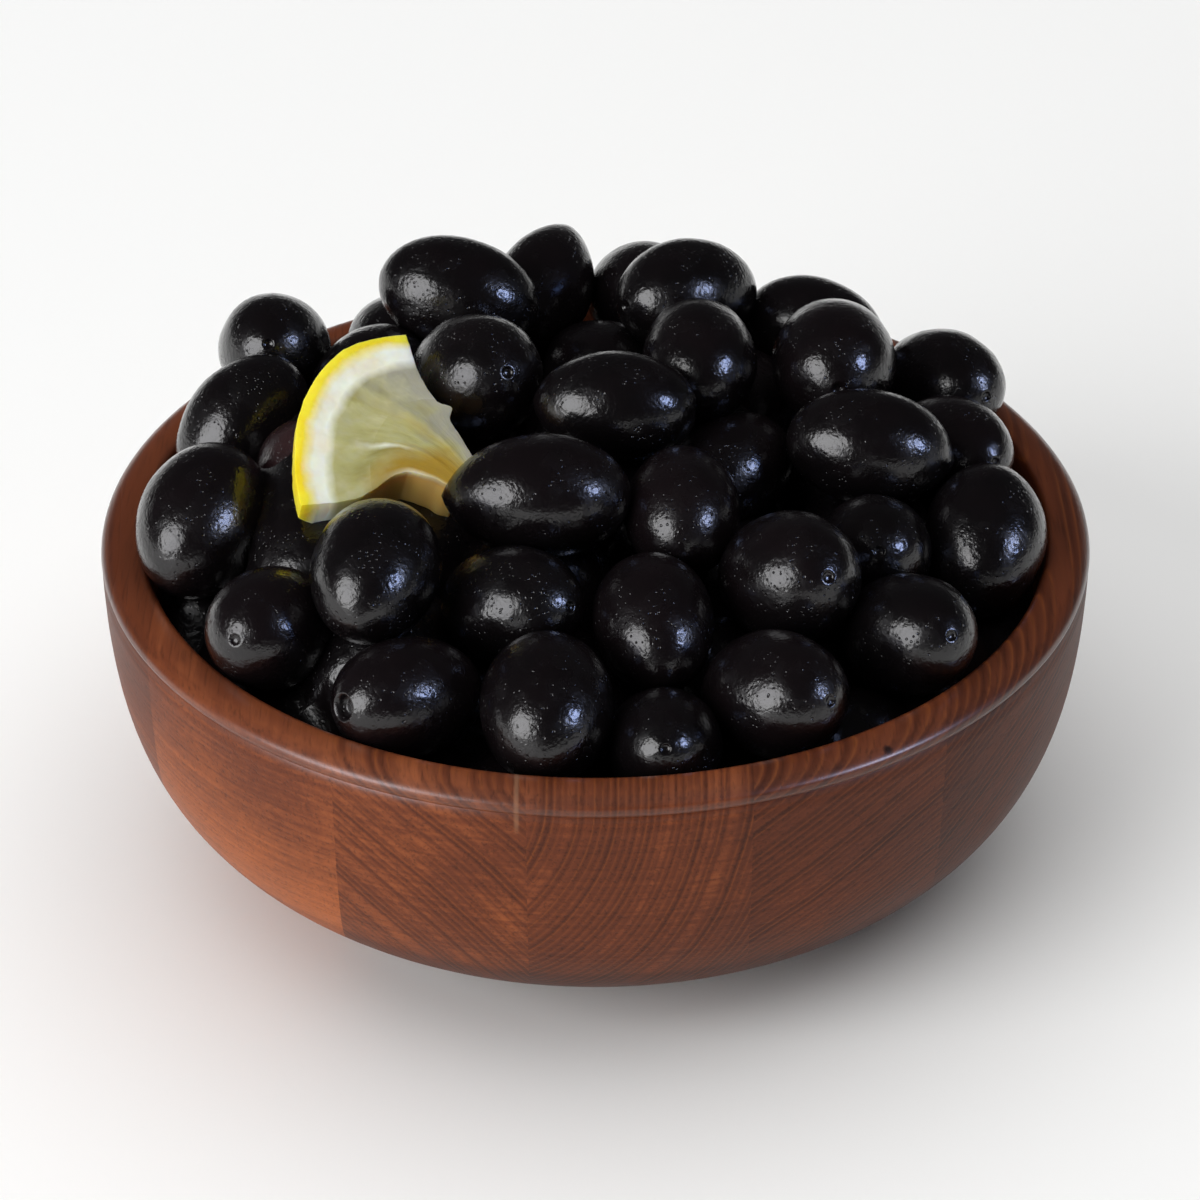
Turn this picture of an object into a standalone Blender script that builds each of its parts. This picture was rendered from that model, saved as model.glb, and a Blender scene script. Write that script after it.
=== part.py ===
"""A turned wooden bowl, heaped with black olives and a piece of lemon.

Metres, +Z up. The origin is the middle of the bowl's foot. The shown side faces -Y, with +X to its right.
"""
import math
import random
from collections import namedtuple

import bmesh
import bpy
import numpy as np
from mathutils import Matrix, Vector

MM = 0.001
GAP = 0.3 * MM
MERGE = 0.00001

# The bowl: its inside is one curve from floor to rim and its outside one from the rim's groove to the
# foot, and each has two handles, given as radius and height
BOWL_RADIUS = 80 * MM
BOWL_HEIGHT = 57.8 * MM
FOOT_RADIUS = 36 * MM
FLOOR_HEIGHT = 9 * MM
RIM_INNER_RADIUS = 72.8 * MM
GROOVE_HEIGHT = 54.6 * MM
GROOVE_DEPTH = 0.6 * MM
INSIDE_HANDLES = [(50 * MM, 8 * MM), (71.5 * MM, 22 * MM)]
INSIDE_TOP = (72.5 * MM, 55 * MM)
OUTSIDE_TOP = (79.95 * MM, 54 * MM)
OUTSIDE_HANDLES = [(80 * MM, 19.1 * MM), (70.9 * MM, 8.6 * MM)]
BOWL_SEGMENTS = 60
CORE_SEGMENTS = 30
INNER_STEPS = 9
OUTER_STEPS = 10

# The heap: the olives' middles lie on a low dome, and a solid core fills the bowl just below them
CREST_HEIGHT = 77 * MM
CREST_ACROSS = -3 * MM
CREST_BACK = 18 * MM
HEAP_FALL = 3.1
CORE_DEPTH = 4.8 * MM
CORE_HUMP_RADIUS = 12.5 * MM
CORE_EDGE_HEIGHT = 52 * MM
CORE_EDGE_SLOPE = 1.0
CORE_RINGS = 12

# An olive has a place in mm, half its length and width in mm, the heading and tilt of its length in
# degrees, and how far its head end (+) or its tail end (-) is drawn out to a point, in mm
Olive = namedtuple("Olive", "across back up half_length half_width heading tilt point", defaults=[0])
SHOWN_OLIVES = [
    # Left side, from the back rim forward
    Olive(-53, 34, 67, 12.6, 9.5, -90, 33),
    Olive(-55.5, 14, 65.5, 13.0, 9.3, 33, 40),
    Olive(-61, -13, 63, 13.6, 10.3, 73, 23),
    Olive(-48, 1, 68, 12.6, 9.0, -90, 33),
    # Along the front rim, from left to right
    Olive(-48.5, -40, 60, 12.6, 9.6, -114, 23),
    Olive(-28.5, -55, 58, 12.8, 9.2, -139, 17),
    Olive(-7, -56, 60, 13.4, 10.1, 90, 3),
    Olive(10, -62, 54, 12.4, 8.8, -90, 33),
    Olive(27, -53, 58, 13.0, 9.7, -50, 23, -1.2),
    Olive(49.5, -38, 58, 13.0, 9.6, -63, 30),
    # Second row
    Olive(-40, -39, 66, 13.2, 9.9, 82, 5),
    Olive(-12, -38, 62, 12.6, 9.4, -39, 22),
    Olive(9, -42, 61.5, 12.6, 9.3, 97, 9),
    Olive(29, -31.5, 66, 13.8, 10.4, -64, 30),
    Olive(45, -18, 60, 12.6, 9.2, -90, 33),
    Olive(63, -13, 59.5, 13.0, 9.7, 82, 31),
    # Middle of the heap
    Olive(-7.5, -21, 73, 14.0, 9.7, 0, 0, -1.0),
    Olive(14, -19, 69, 12.6, 9.1, 90, 4),
    Olive(5, 2, 77, 13.0, 8.8, -2, -3),
    Olive(44, 0, 69.5, 13.4, 9.4, 175, 8),
    Olive(58.5, 11.5, 63.5, 12.6, 9.0, -59, 18),
    Olive(59, 29, 62.5, 12.6, 9.0, -59, 15),
    Olive(-20, 11, 74.5, 13.6, 10.4, -63, 30),
    # Crest and back
    Olive(15.5, 15, 76, 12.6, 9.3, 93, 3),
    Olive(39.5, 22.5, 72.5, 13.4, 10.2, -90, 10),
    Olive(37, 37, 69.5, 12.6, 9.2, 156, 2),
    Olive(13, 41, 74, 13.0, 9.6, -145, 9),
    Olive(7.5, 53, 69, 12.6, 9.4, -61, 25),
    Olive(-7, 52, 69, 12.2, 8.7, -110, -25, -1.6),
    Olive(-23.5, 41, 73, 13.8, 9.7, 172, 12),
    Olive(-35, 52, 61, 12.6, 9.1, -67, 25),
]
DEEPER_OLIVES = [
    # These show only in the gaps between the others
    Olive(-56, -29, 51, 12.6, 9.2, -60, 10),
    Olive(-44, -17, 52, 12.6, 9.3, 20, 10),
    Olive(43, -46, 47, 12.6, 9.2, 30, 0),
    Olive(33, -8, 60, 12.6, 9.1, 20, 5),
    Olive(24, -1, 64, 12.4, 9.0, 40, 10),
    Olive(-6, 24, 65, 12.4, 8.9, -90, 20),
    Olive(-3, 36, 66, 12.4, 8.9, -60, 20),
    Olive(-35, -7, 53, 12.6, 9.2, 100, 5),
    Olive(-33, 12, 60, 12.6, 9.2, 160, -10),
    Olive(-38, 26, 65, 12.8, 9.3, 60, 8),
]
SHOWN_SIDES = (12, 8)
HIDDEN_SIDES = (9, 6)

# Olives drawn by lot are let down into the gaps that the listed ones leave: those that lie high first
LOT_SEED = 11
LOT_DEPTH = 7 * MM
LOT_ROUNDS = [(3 * MM, 500), (12 * MM, 900)]
LOT_STEP = 1.5 * MM
LOT_RADIUS = 62.5 * MM
LOT_EDGE_HEIGHT = 57 * MM
LOT_EDGE_SLOPE = 1.0
LOT_SIZES = (0.95, 1.05)
LOT_PRESS = 1.2 * MM
USUAL_HALF_LENGTH = 12.6
USUAL_HALF_WIDTH = 9.2

# Settling: every olive is a row of balls that fill it, and balls that cross are pushed apart
SETTLE_ROUNDS = 200
SETTLE_SHARE = 0.6
SQUASH = 0.3 * MM
WALL_MARGIN = GAP + 0.25 * MM
LOOSENESS_SHOWN = 1.0
LOOSENESS_HIDDEN = 4.0

# The lemon: a quarter of a thick slice, with its core end at LEMON_TIP and its cut face up
LEMON_TIP = Vector((-18.9, -10.6, 73.5)) * MM
LEMON_FACE = Vector((0.20, -0.37, 0.907))
LEMON_TOWARDS_RIND = Vector((-0.955, 0.134, 0.265))
LEMON_THICKNESS = 9.6 * MM
LEMON_UNDERCUT = 0.95
LEMON_EDGE_ROUNDING = 0.7 * MM
# Both cut edges, from the core end to the rind, as radius in mm and angle in degrees
BACK_EDGE = [(0.4, -48), (10.3, -47), (18.8, -45), (21.5, -48.5), (26.2, -50)]
LOW_EDGE = [(6.2, 76), (8.4, 36), (12.4, 28), (14.8, 34), (18.0, 41), (22.5, 41.5), (30.0, 38.5)]
LEMON_ROUND_FROM = 0.3
# How far the rind's line stands out in mm, at shares of the way from the back edge to the low one
RIND_BULGE = [(0, 0), (0.12, 0.9), (0.25, 1.65), (0.5, 0.6), (0.75, -0.45), (0.88, -0.35), (1, 0)]
LEMON_ROWS = 9
LEMON_COLUMNS = 12
MEMBRANE_PLACES = (0.30, 0.68)
MEMBRANE_WIDTH = 0.05
MEMBRANE_HEIGHT = 0.4 * MM
MEMBRANE_FULL_FROM = 0.3
PITH_HEIGHT = 0.35 * MM
PITH_START = 0.78


def clear_scene():
    for obj in list(bpy.data.objects):
        bpy.data.objects.remove(obj, do_unlink=True)


def add_collection(name):
    collection = bpy.data.collections.new(name)
    bpy.context.scene.collection.children.link(collection)
    return collection


def add_material(name, colour, roughness):
    material = bpy.data.materials.new(name)
    material.use_nodes = True
    shader = material.node_tree.nodes["Principled BSDF"]
    shader.inputs["Base Color"].default_value = (*colour, 1.0)
    shader.inputs["Roughness"].default_value = roughness
    shader.inputs["Metallic"].default_value = 0.0
    material.diffuse_color = (*colour, 1.0)
    return material


def add_object(name, mesh, collection, material=None):
    obj = bpy.data.objects.new(name, mesh)
    collection.objects.link(obj)
    if material:
        mesh.materials.append(material)
    return obj


def apply_modifiers(obj):
    """Give the object the mesh that its modifiers make."""
    evaluated = obj.evaluated_get(bpy.context.evaluated_depsgraph_get())
    mesh = bpy.data.meshes.new_from_object(evaluated)
    obj.modifiers.clear()
    obj.data = mesh


def bezier(start, first_handle, second_handle, end, steps):
    """Points along a cubic curve, both ends included."""
    points = []
    for step in range(steps + 1):
        t = step / steps
        weights = ((1 - t) ** 3, 3 * (1 - t) ** 2 * t, 3 * (1 - t) * t * t, t ** 3)
        corners = (start, first_handle, second_handle, end)
        points.append(tuple(sum(w * c[axis] for w, c in zip(weights, corners)) for axis in (0, 1)))
    return points


def inner_wall(steps):
    """Radius and height from the middle of the bowl's floor up to just under its rim."""
    return bezier((0.0, FLOOR_HEIGHT), *INSIDE_HANDLES, INSIDE_TOP, steps)


def rim():
    """Radius and height over the rim, from its inner edge to the bottom of its outer bead."""
    inner, outer, top = RIM_INNER_RADIUS, BOWL_RADIUS, BOWL_HEIGHT
    return [
        (inner, top - 1.7 * MM),
        (inner + 0.4 * MM, top - 0.8 * MM),
        (inner + 1.2 * MM, top - 0.2 * MM),
        (inner + 3.0 * MM, top),
        (outer - 2.5 * MM, top - 0.1 * MM),
        (outer - 1.0 * MM, top - 0.7 * MM),
        (outer - 0.2 * MM, top - 1.6 * MM),
        (outer, top - 2.3 * MM),
        (outer - GROOVE_DEPTH, GROOVE_HEIGHT),
    ]


def outer_wall(steps):
    """Radius and height from under the rim's groove down to the edge of the foot."""
    return bezier(OUTSIDE_TOP, *OUTSIDE_HANDLES, (FOOT_RADIUS, 0.0), steps)


def turn(name, profile, segments, collection, material=None):
    """A turned solid from a profile of radius and height, which starts and ends on the axis."""
    mesh = bpy.data.meshes.new(name)
    points = [(radius, 0.0, height) for radius, height in profile]
    edges = [(index, index + 1) for index in range(len(points) - 1)]
    mesh.from_pydata(points, edges, [])
    obj = add_object(name, mesh, collection, material)
    screw = obj.modifiers.new("Turn", "SCREW")
    screw.steps = segments
    screw.render_steps = segments
    screw.use_merge_vertices = True
    screw.merge_threshold = MERGE
    return obj


def make_bowl(collection):
    wood = add_material("turned_wood", (0.30, 0.115, 0.055), 0.42)
    profile = inner_wall(INNER_STEPS) + rim() + outer_wall(OUTER_STEPS) + [(0.0, 0.0)]
    bowl = turn("bowl", profile, BOWL_SEGMENTS, collection, wood)
    apply_modifiers(bowl)
    bowl.data.shade_smooth()
    bowl.data.set_sharp_from_angle(angle=math.radians(40))
    return bowl


def lemon_frame():
    """The lemon's own axes: towards the rind, across the slice, and out of its cut face."""
    face = LEMON_FACE.normalized()
    outward = (LEMON_TOWARDS_RIND - face * LEMON_TOWARDS_RIND.dot(face)).normalized()
    frame = Matrix((outward, face.cross(outward), face)).transposed().to_4x4()
    frame.translation = LEMON_TIP
    return frame


def lemon_depth(share):
    """How thick the piece is at a share of the way to the rind, which curves in under it."""
    return LEMON_THICKNESS * math.sqrt(1 - (LEMON_UNDERCUT * share) ** 2)


def edge_point(edge, share):
    """Radius and angle at a share of the way along one of the lemon's cut edges."""
    radii = [radius for radius, _ in edge]
    angles = [angle for _, angle in edge]
    radius = radii[0] + share * (radii[-1] - radii[0])
    return radius * MM, math.radians(float(np.interp(radius, radii, angles)))


def flat_point(radius, angle):
    return Vector((radius * math.cos(angle), radius * math.sin(angle), 0))


def lemon_point(share, turn_share):
    """A point of the cut face, by its share of the way to the rind and from the back edge to the low one."""
    back_radius, back_angle = edge_point(BACK_EDGE, share)
    low_radius, low_angle = edge_point(LOW_EDGE, share)
    bulge = float(np.interp(turn_share, *zip(*RIND_BULGE))) * MM
    radius = back_radius + turn_share * (low_radius - back_radius) + share * bulge
    angle = back_angle + turn_share * (low_angle - back_angle)
    straight = flat_point(back_radius, back_angle).lerp(flat_point(low_radius, low_angle), turn_share)
    point = straight.lerp(flat_point(radius, angle), min(1.0, share / LEMON_ROUND_FROM))
    membrane = max(math.exp(-((turn_share - place) / MEMBRANE_WIDTH) ** 2) for place in MEMBRANE_PLACES)
    point.z = MEMBRANE_HEIGHT * membrane * min(1.0, share / MEMBRANE_FULL_FROM)
    if share > PITH_START:
        point.z = PITH_HEIGHT
    return point


def make_lemon(name, collection, material=None, margin=0.0):
    """The lemon solid, or with a margin the slightly larger solid that it needs as room."""
    form = bmesh.new()
    bmesh.ops.create_grid(form, x_segments=LEMON_ROWS, y_segments=LEMON_COLUMNS, size=0.5)
    shares = [vertex.co.x + 0.5 for vertex in form.verts]
    for vertex in form.verts:
        vertex.co = lemon_point(vertex.co.x + 0.5, vertex.co.y + 0.5)
    bmesh.ops.recalc_face_normals(form, faces=form.faces)
    if sum(face.normal.z for face in form.faces) < 0:
        bmesh.ops.reverse_faces(form, faces=form.faces)
    mesh = bpy.data.meshes.new(name)
    form.to_mesh(mesh)
    form.free()
    lemon = add_object(name, mesh, collection, material)
    lemon.matrix_world = lemon_frame()
    depth = lemon.vertex_groups.new(name="depth")
    for index, share in enumerate(shares):
        depth.add([index], lemon_depth(share) / LEMON_THICKNESS, "REPLACE")
    body = lemon.modifiers.new("Thickness", "SOLIDIFY")
    body.thickness = LEMON_THICKNESS
    body.offset = -1.0
    body.vertex_group = depth.name
    rounding = lemon.modifiers.new("Rounding", "BEVEL")
    rounding.width = LEMON_EDGE_ROUNDING
    rounding.segments = 1
    rounding.limit_method = "ANGLE"
    rounding.angle_limit = math.radians(50)
    bpy.context.view_layer.update()
    apply_modifiers(lemon)
    if margin:
        for vertex in lemon.data.vertices:
            vertex.co += vertex.normal * margin
    return lemon


def heap_height(across, back):
    return CREST_HEIGHT - HEAP_FALL * ((across - CREST_ACROSS) ** 2 + (back - CREST_BACK) ** 2)


def core_height(across, back, supports):
    """The core has a round hump under each olive, and comes down to the wall below the rim."""
    from_wall = RIM_INNER_RADIUS - math.hypot(across, back)
    edge = CORE_EDGE_HEIGHT + CORE_EDGE_SLOPE * from_wall
    distance = np.hypot(supports[:, 0] - across, supports[:, 1] - back)
    near = distance < CORE_HUMP_RADIUS
    if not near.any():
        return 0.0
    drop = CORE_HUMP_RADIUS - np.sqrt(CORE_HUMP_RADIUS ** 2 - distance[near] ** 2)
    return min(float((supports[near, 2] - drop).max()), edge)


def make_core(middles, collection, material):
    """A turned solid inside the bowl, its flat top then raised to just under the olives and the lemon."""
    wall = [(radius - GAP, height + GAP) for radius, height in inner_wall(INNER_STEPS)[1:-1]]
    top_radius, top_height = wall[-1]
    top = [(top_radius * ring / CORE_RINGS, top_height) for ring in range(CORE_RINGS)]
    profile = top + wall[::-1] + [(0.0, FLOOR_HEIGHT + GAP)]
    core = turn("olive_heap", profile, CORE_SEGMENTS, collection, material)
    apply_modifiers(core)
    under_olives = middles - [0, 0, CORE_DEPTH]
    under_lemon, radii = lemon_balls()
    under_lemon[:, 2] -= radii
    supports = np.concatenate([under_olives, under_lemon])
    for vertex in core.data.vertices:
        if vertex.co.z > top_height - MERGE:
            vertex.co.z = max(core_height(vertex.co.x, vertex.co.y, supports), top_height)
    return core


def olive_axis(heading, tilt):
    heading, tilt = math.radians(heading), math.radians(tilt)
    level = math.cos(tilt)
    return np.array([math.cos(heading) * level, math.sin(heading) * level, math.sin(tilt)])


def balls_in(olive):
    """Places along the olive's length, and radii, of five balls that fill it."""
    half_length, half_width = olive.half_length * MM, olive.half_width * MM
    reach = (half_length ** 2 - half_width ** 2) / half_length
    offsets = np.linspace(-reach, reach, 5)
    radii = half_width * np.sqrt(1 - offsets ** 2 / (half_length ** 2 - half_width ** 2))
    return offsets, radii


def olive_balls(olive, middle):
    offsets, radii = balls_in(olive)
    return middle + offsets[:, None] * olive_axis(olive.heading, olive.tilt), radii


def bowl_wall():
    """Points up the inside of the bowl and over its rim, close enough to stand for the wall."""
    corners = np.array(inner_wall(INNER_STEPS)[2:] + rim()[:-1])
    shares = np.arange(0, len(corners) - 1, 0.1)
    indices = np.arange(len(corners))
    return np.stack([np.interp(shares, indices, corners[:, axis]) for axis in (0, 1)], axis=1)


def wall_distance(balls, wall):
    """From each ball's middle to the nearest point of the wall: the distance, and the way there and up."""
    out = np.hypot(balls[:, 0], balls[:, 1]) + 1e-9
    away = np.stack([out, balls[:, 2]], axis=1)[:, None] - wall[None]
    distance = np.linalg.norm(away, axis=2)
    rows, nearest = np.arange(len(balls)), distance.argmin(axis=1)
    distance = distance[rows, nearest]
    level, rise = (away[rows, nearest] / distance[:, None]).T
    return distance, np.stack([level * balls[:, 0] / out, level * balls[:, 1] / out, rise], axis=1)


def has_room(balls, radii, taken, wall):
    """True if balls cross no others by more than olives press into each other, and clear the wall."""
    if (wall_distance(balls, wall)[0] - radii).min() < WALL_MARGIN:
        return False
    others = np.concatenate([middles for middles, _ in taken])
    other_radii = np.concatenate([sizes for _, sizes in taken])
    distance = np.linalg.norm(balls[:, None] - others[None], axis=2)
    return (distance - radii[:, None] - other_radii[None]).min() > -LOT_PRESS


def lemon_balls():
    """Middles and radii of the balls that fill the lemon, which the olives are kept off."""
    frame = lemon_frame()
    middles, radii = [], []
    for share in (0.15, 0.38, 0.62, 0.86):
        for turn_share in np.linspace(0.08, 0.92, 2 + round(7 * share)):
            point = lemon_point(share, turn_share)
            point.z = -lemon_depth(share) / 2
            middles.append(frame @ point)
            radii.append(lemon_depth(share) / 2)
    return np.array(middles), np.array(radii)


def push_apart(balls, radii, owner, looseness, count):
    """The move of each olive away from every other that it crosses, by their deepest contact."""
    apart = balls[:, None] - balls[None]
    distance = np.linalg.norm(apart, axis=2) + 1e-9
    crossing = radii[:, None] + radii[None] - SQUASH - distance
    crossing[owner[:, None] == owner[None]] = 0
    crossing = np.maximum(crossing, 0)
    share = looseness[owner][:, None] / (looseness[owner][:, None] + looseness[owner][None])
    push = apart / distance[..., None] * (crossing * share)[..., None]
    each = len(balls) // count
    by_pair = crossing.reshape(count, each, count, each).transpose(0, 2, 1, 3).reshape(count, count, -1)
    pushes = push.reshape(count, each, count, each, 3).transpose(0, 2, 1, 3, 4).reshape(count, count, -1, 3)
    deepest = by_pair.argmax(axis=2)[..., None, None]
    return np.take_along_axis(pushes, deepest, axis=2)[:, :, 0].sum(axis=1)


def deepest_push(crossing, direction, count):
    """The push of each olive along the direction of its ball that crosses most."""
    crossing = np.maximum(crossing, 0).reshape(count, -1)
    moves = direction.reshape(count, -1, 3) * crossing[..., None]
    return moves[np.arange(count), crossing.argmax(axis=1)]


def push_off_wall(balls, radii, wall, count):
    distance, direction = wall_distance(balls, wall)
    return deepest_push(radii + WALL_MARGIN - distance, direction, count)


def push_off_lemon(balls, radii, lemon, count):
    middles, sizes = lemon
    away = balls[:, None] - middles[None]
    distance = np.linalg.norm(away, axis=2)
    nearest = (distance - sizes[None]).argmin(axis=1)
    rows = np.arange(len(balls))
    crossing = radii + sizes[nearest] - distance[rows, nearest]
    direction = away[rows, nearest] / distance[rows, nearest][:, None]
    return deepest_push(crossing, direction, count)


def settle(olives):
    """The olives' middles once none crosses another, the bowl or the lemon."""
    count = len(olives)
    middles = np.array([[olive.across, olive.back, olive.up] for olive in olives]) * MM
    axes = np.array([olive_axis(olive.heading, olive.tilt) for olive in olives])
    rows = [balls_in(olive) for olive in olives]
    offsets = np.array([row[0] for row in rows])
    radii = np.array([row[1] for row in rows]).ravel()
    owner = np.repeat(np.arange(count), offsets.shape[1])
    shown = len(SHOWN_OLIVES)
    looseness = np.array([LOOSENESS_SHOWN] * shown + [LOOSENESS_HIDDEN] * (count - shown))
    wall = bowl_wall()
    lemon = lemon_balls()
    for _ in range(SETTLE_ROUNDS):
        balls = (middles[:, None] + offsets[..., None] * axes[:, None]).reshape(-1, 3)
        middles = middles + SETTLE_SHARE * push_apart(balls, radii, owner, looseness, count)
        middles = middles + push_off_wall(balls, radii, wall, count)
        middles = middles + SETTLE_SHARE * push_off_lemon(balls, radii, lemon, count)
    return middles


def fill_gaps(olives, middles):
    """Olives drawn by lot, each let down from the dome until it fits between those already there."""
    lot = random.Random(LOT_SEED)
    taken = [olive_balls(olive, middle) for olive, middle in zip(olives, middles)]
    taken.append(lemon_balls())
    wall = bowl_wall()
    olives, middles = list(olives), list(middles)
    for limit, tries in LOT_ROUNDS:
        for _ in range(tries):
            angle, radius = lot.uniform(0, math.tau), LOT_RADIUS * math.sqrt(lot.random())
            size, heading, tilt = lot.uniform(*LOT_SIZES), lot.uniform(0, 180), lot.uniform(-15, 25)
            across, back = radius * math.cos(angle), radius * math.sin(angle)
            edge = LOT_EDGE_HEIGHT + LOT_EDGE_SLOPE * (LOT_RADIUS - radius)
            top = min(heap_height(across, back) - LOT_DEPTH, edge)
            olive = Olive(0, 0, 0, USUAL_HALF_LENGTH * size, USUAL_HALF_WIDTH * size, heading, tilt)
            for step in range(int(limit / LOT_STEP) + 1):
                middle = np.array([across, back, top - step * LOT_STEP])
                if has_room(*olive_balls(olive, middle), taken, wall):
                    taken.append(olive_balls(olive, middle))
                    olives.append(olive)
                    middles.append(middle)
                    break
    return olives, middles


def make_olive(olive, middle, sides, collection):
    """One olive: a long ball with its length along its axis, one end drawn out if it is a pointed one."""
    form = bmesh.new()
    bmesh.ops.create_uvsphere(form, u_segments=sides[0], v_segments=sides[1], radius=1.0)
    point = olive.point / olive.half_length
    for vertex in form.verts:
        end = vertex.co.z
        if point * end > 0:
            vertex.co.z += point * end ** 6
    size = Matrix.Diagonal((olive.half_width * MM, olive.half_width * MM, olive.half_length * MM, 1.0))
    axis = Vector(olive_axis(olive.heading, olive.tilt))
    place = Matrix.Translation(middle) @ axis.to_track_quat("Z", "Y").to_matrix().to_4x4()
    form.transform(place @ size)
    mesh = bpy.data.meshes.new("olive")
    form.to_mesh(mesh)
    form.free()
    return add_object("olive", mesh, collection)


def keep_largest_body(mesh):
    """Drop loose scraps, and fill sealed hollows by dropping their walls."""
    form = bmesh.new()
    form.from_mesh(mesh)
    left = set(form.verts)
    bodies = []
    while left:
        body = {left.pop()}
        edge = set(body)
        while edge:
            edge = {link.other_vert(vertex) for vertex in edge for link in vertex.link_edges} & left
            left -= edge
            body |= edge
        bodies.append(body)
    bodies.sort(key=len)
    scraps = [vertex for body in bodies[:-1] for vertex in body]
    bmesh.ops.delete(form, geom=scraps, context="VERTS")
    form.to_mesh(mesh)
    form.free()


def join(obj, operation, solver, collection=None, other=None):
    boolean = obj.modifiers.new("Join", "BOOLEAN")
    boolean.operation = operation
    boolean.solver = solver
    if collection:
        boolean.operand_type = "COLLECTION"
        boolean.collection = collection
    else:
        boolean.object = other
    bpy.context.view_layer.update()
    apply_modifiers(obj)


def make_heap(collection):
    """The core with its olives fused on, less the room that the lemon lies in."""
    skin = add_material("olive_skin", (0.012, 0.010, 0.012), 0.18)
    listed = SHOWN_OLIVES + DEEPER_OLIVES
    olives, middles = fill_gaps(listed, settle(listed))
    heap = make_core(np.array(middles), collection, skin)
    pieces = add_collection("olives_to_join")
    for index, (olive, middle) in enumerate(zip(olives, middles)):
        sides = SHOWN_SIDES if index < len(SHOWN_OLIVES) else HIDDEN_SIDES
        make_olive(olive, Vector(middle), sides, pieces)
    join(heap, "UNION", "MANIFOLD", collection=pieces)
    room = make_lemon("lemon_room", pieces, margin=GAP)
    join(heap, "DIFFERENCE", "MANIFOLD", other=room)
    keep_largest_body(heap.data)
    for obj in list(pieces.objects):
        bpy.data.objects.remove(obj, do_unlink=True)
    bpy.data.collections.remove(pieces)
    heap.data.shade_smooth()
    heap.data.set_sharp_from_angle(angle=math.radians(35))
    return heap


def main():
    clear_scene()
    collection = add_collection("bowl_of_olives")
    make_bowl(collection)
    make_heap(collection)
    flesh = add_material("lemon_flesh", (0.80, 0.74, 0.30), 0.35)
    lemon = make_lemon("lemon_wedge", collection, flesh)
    lemon.data.shade_smooth()
    lemon.data.set_sharp_from_angle(angle=math.radians(35))


main()
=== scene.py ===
"""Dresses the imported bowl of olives: turned wood, wet black olives, a thick piece of lemon, and a stage."""
import math
import random
from collections import namedtuple
from functools import partial

import bpy
import numpy as np
from bpy.props import FloatProperty, FloatVectorProperty, IntProperty, PointerProperty
from mathutils import Matrix, Vector, noise


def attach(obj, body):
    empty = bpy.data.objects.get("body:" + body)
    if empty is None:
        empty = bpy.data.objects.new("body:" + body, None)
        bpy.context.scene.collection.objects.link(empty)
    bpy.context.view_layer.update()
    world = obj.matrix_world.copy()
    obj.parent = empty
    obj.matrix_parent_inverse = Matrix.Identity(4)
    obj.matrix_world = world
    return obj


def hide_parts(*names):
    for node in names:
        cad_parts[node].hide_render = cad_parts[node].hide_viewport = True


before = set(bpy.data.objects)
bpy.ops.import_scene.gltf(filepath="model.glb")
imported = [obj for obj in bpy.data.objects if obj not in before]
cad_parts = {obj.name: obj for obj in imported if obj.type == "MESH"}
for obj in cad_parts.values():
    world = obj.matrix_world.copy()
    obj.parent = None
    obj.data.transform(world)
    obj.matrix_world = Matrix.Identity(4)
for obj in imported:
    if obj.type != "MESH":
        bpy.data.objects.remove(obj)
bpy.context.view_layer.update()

bl_info = {
    "name": "Bowl of olives",
    "version": (1, 0, 0),
    "blender": (4, 5, 0),
    "location": "View3D > Sidebar > Olives",
    "description": "Models a turned wooden bowl heaped with black olives and a piece of lemon",
    "category": "Object",
}

MM = 0.001
BODY = "root"
MERGE = 0.000001
PROFILE_STEPS = 44
RIM_STEPS = 4
# Weights of four points in a row for the stretch between the middle two, by powers of the share along it
SMOOTH_WEIGHTS = np.array([(0, -1, 2, -1), (2, 0, -5, 3), (0, 1, 4, -3), (0, 0, -1, 1)]) / 2

# The bowl's curves, given as radius and height, each with two handles
FLOOR_HEIGHT = 9 * MM
INSIDE_HANDLES = [(50 * MM, 8 * MM), (71.5 * MM, 22 * MM)]
INSIDE_TOP = (72.5 * MM, 55 * MM)
OUTSIDE_TOP = (79.95 * MM, 54 * MM)
OUTSIDE_HANDLES = [(80 * MM, 19.1 * MM), (70.9 * MM, 8.6 * MM)]
INNER_STEPS = 9

# The heap's dome and its core
CREST_HEIGHT = 77 * MM
CREST_ACROSS = -3 * MM
CREST_BACK = 18 * MM
HEAP_FALL = 3.1
CORE_RINGS = 60
CORE_STEPS = 96
CORE_HUMP_RADIUS = 12.5 * MM
CORE_EDGE_HEIGHT = 50 * MM
CORE_EDGE_SLOPE = 1.0
GAP = 0.3 * MM

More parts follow.
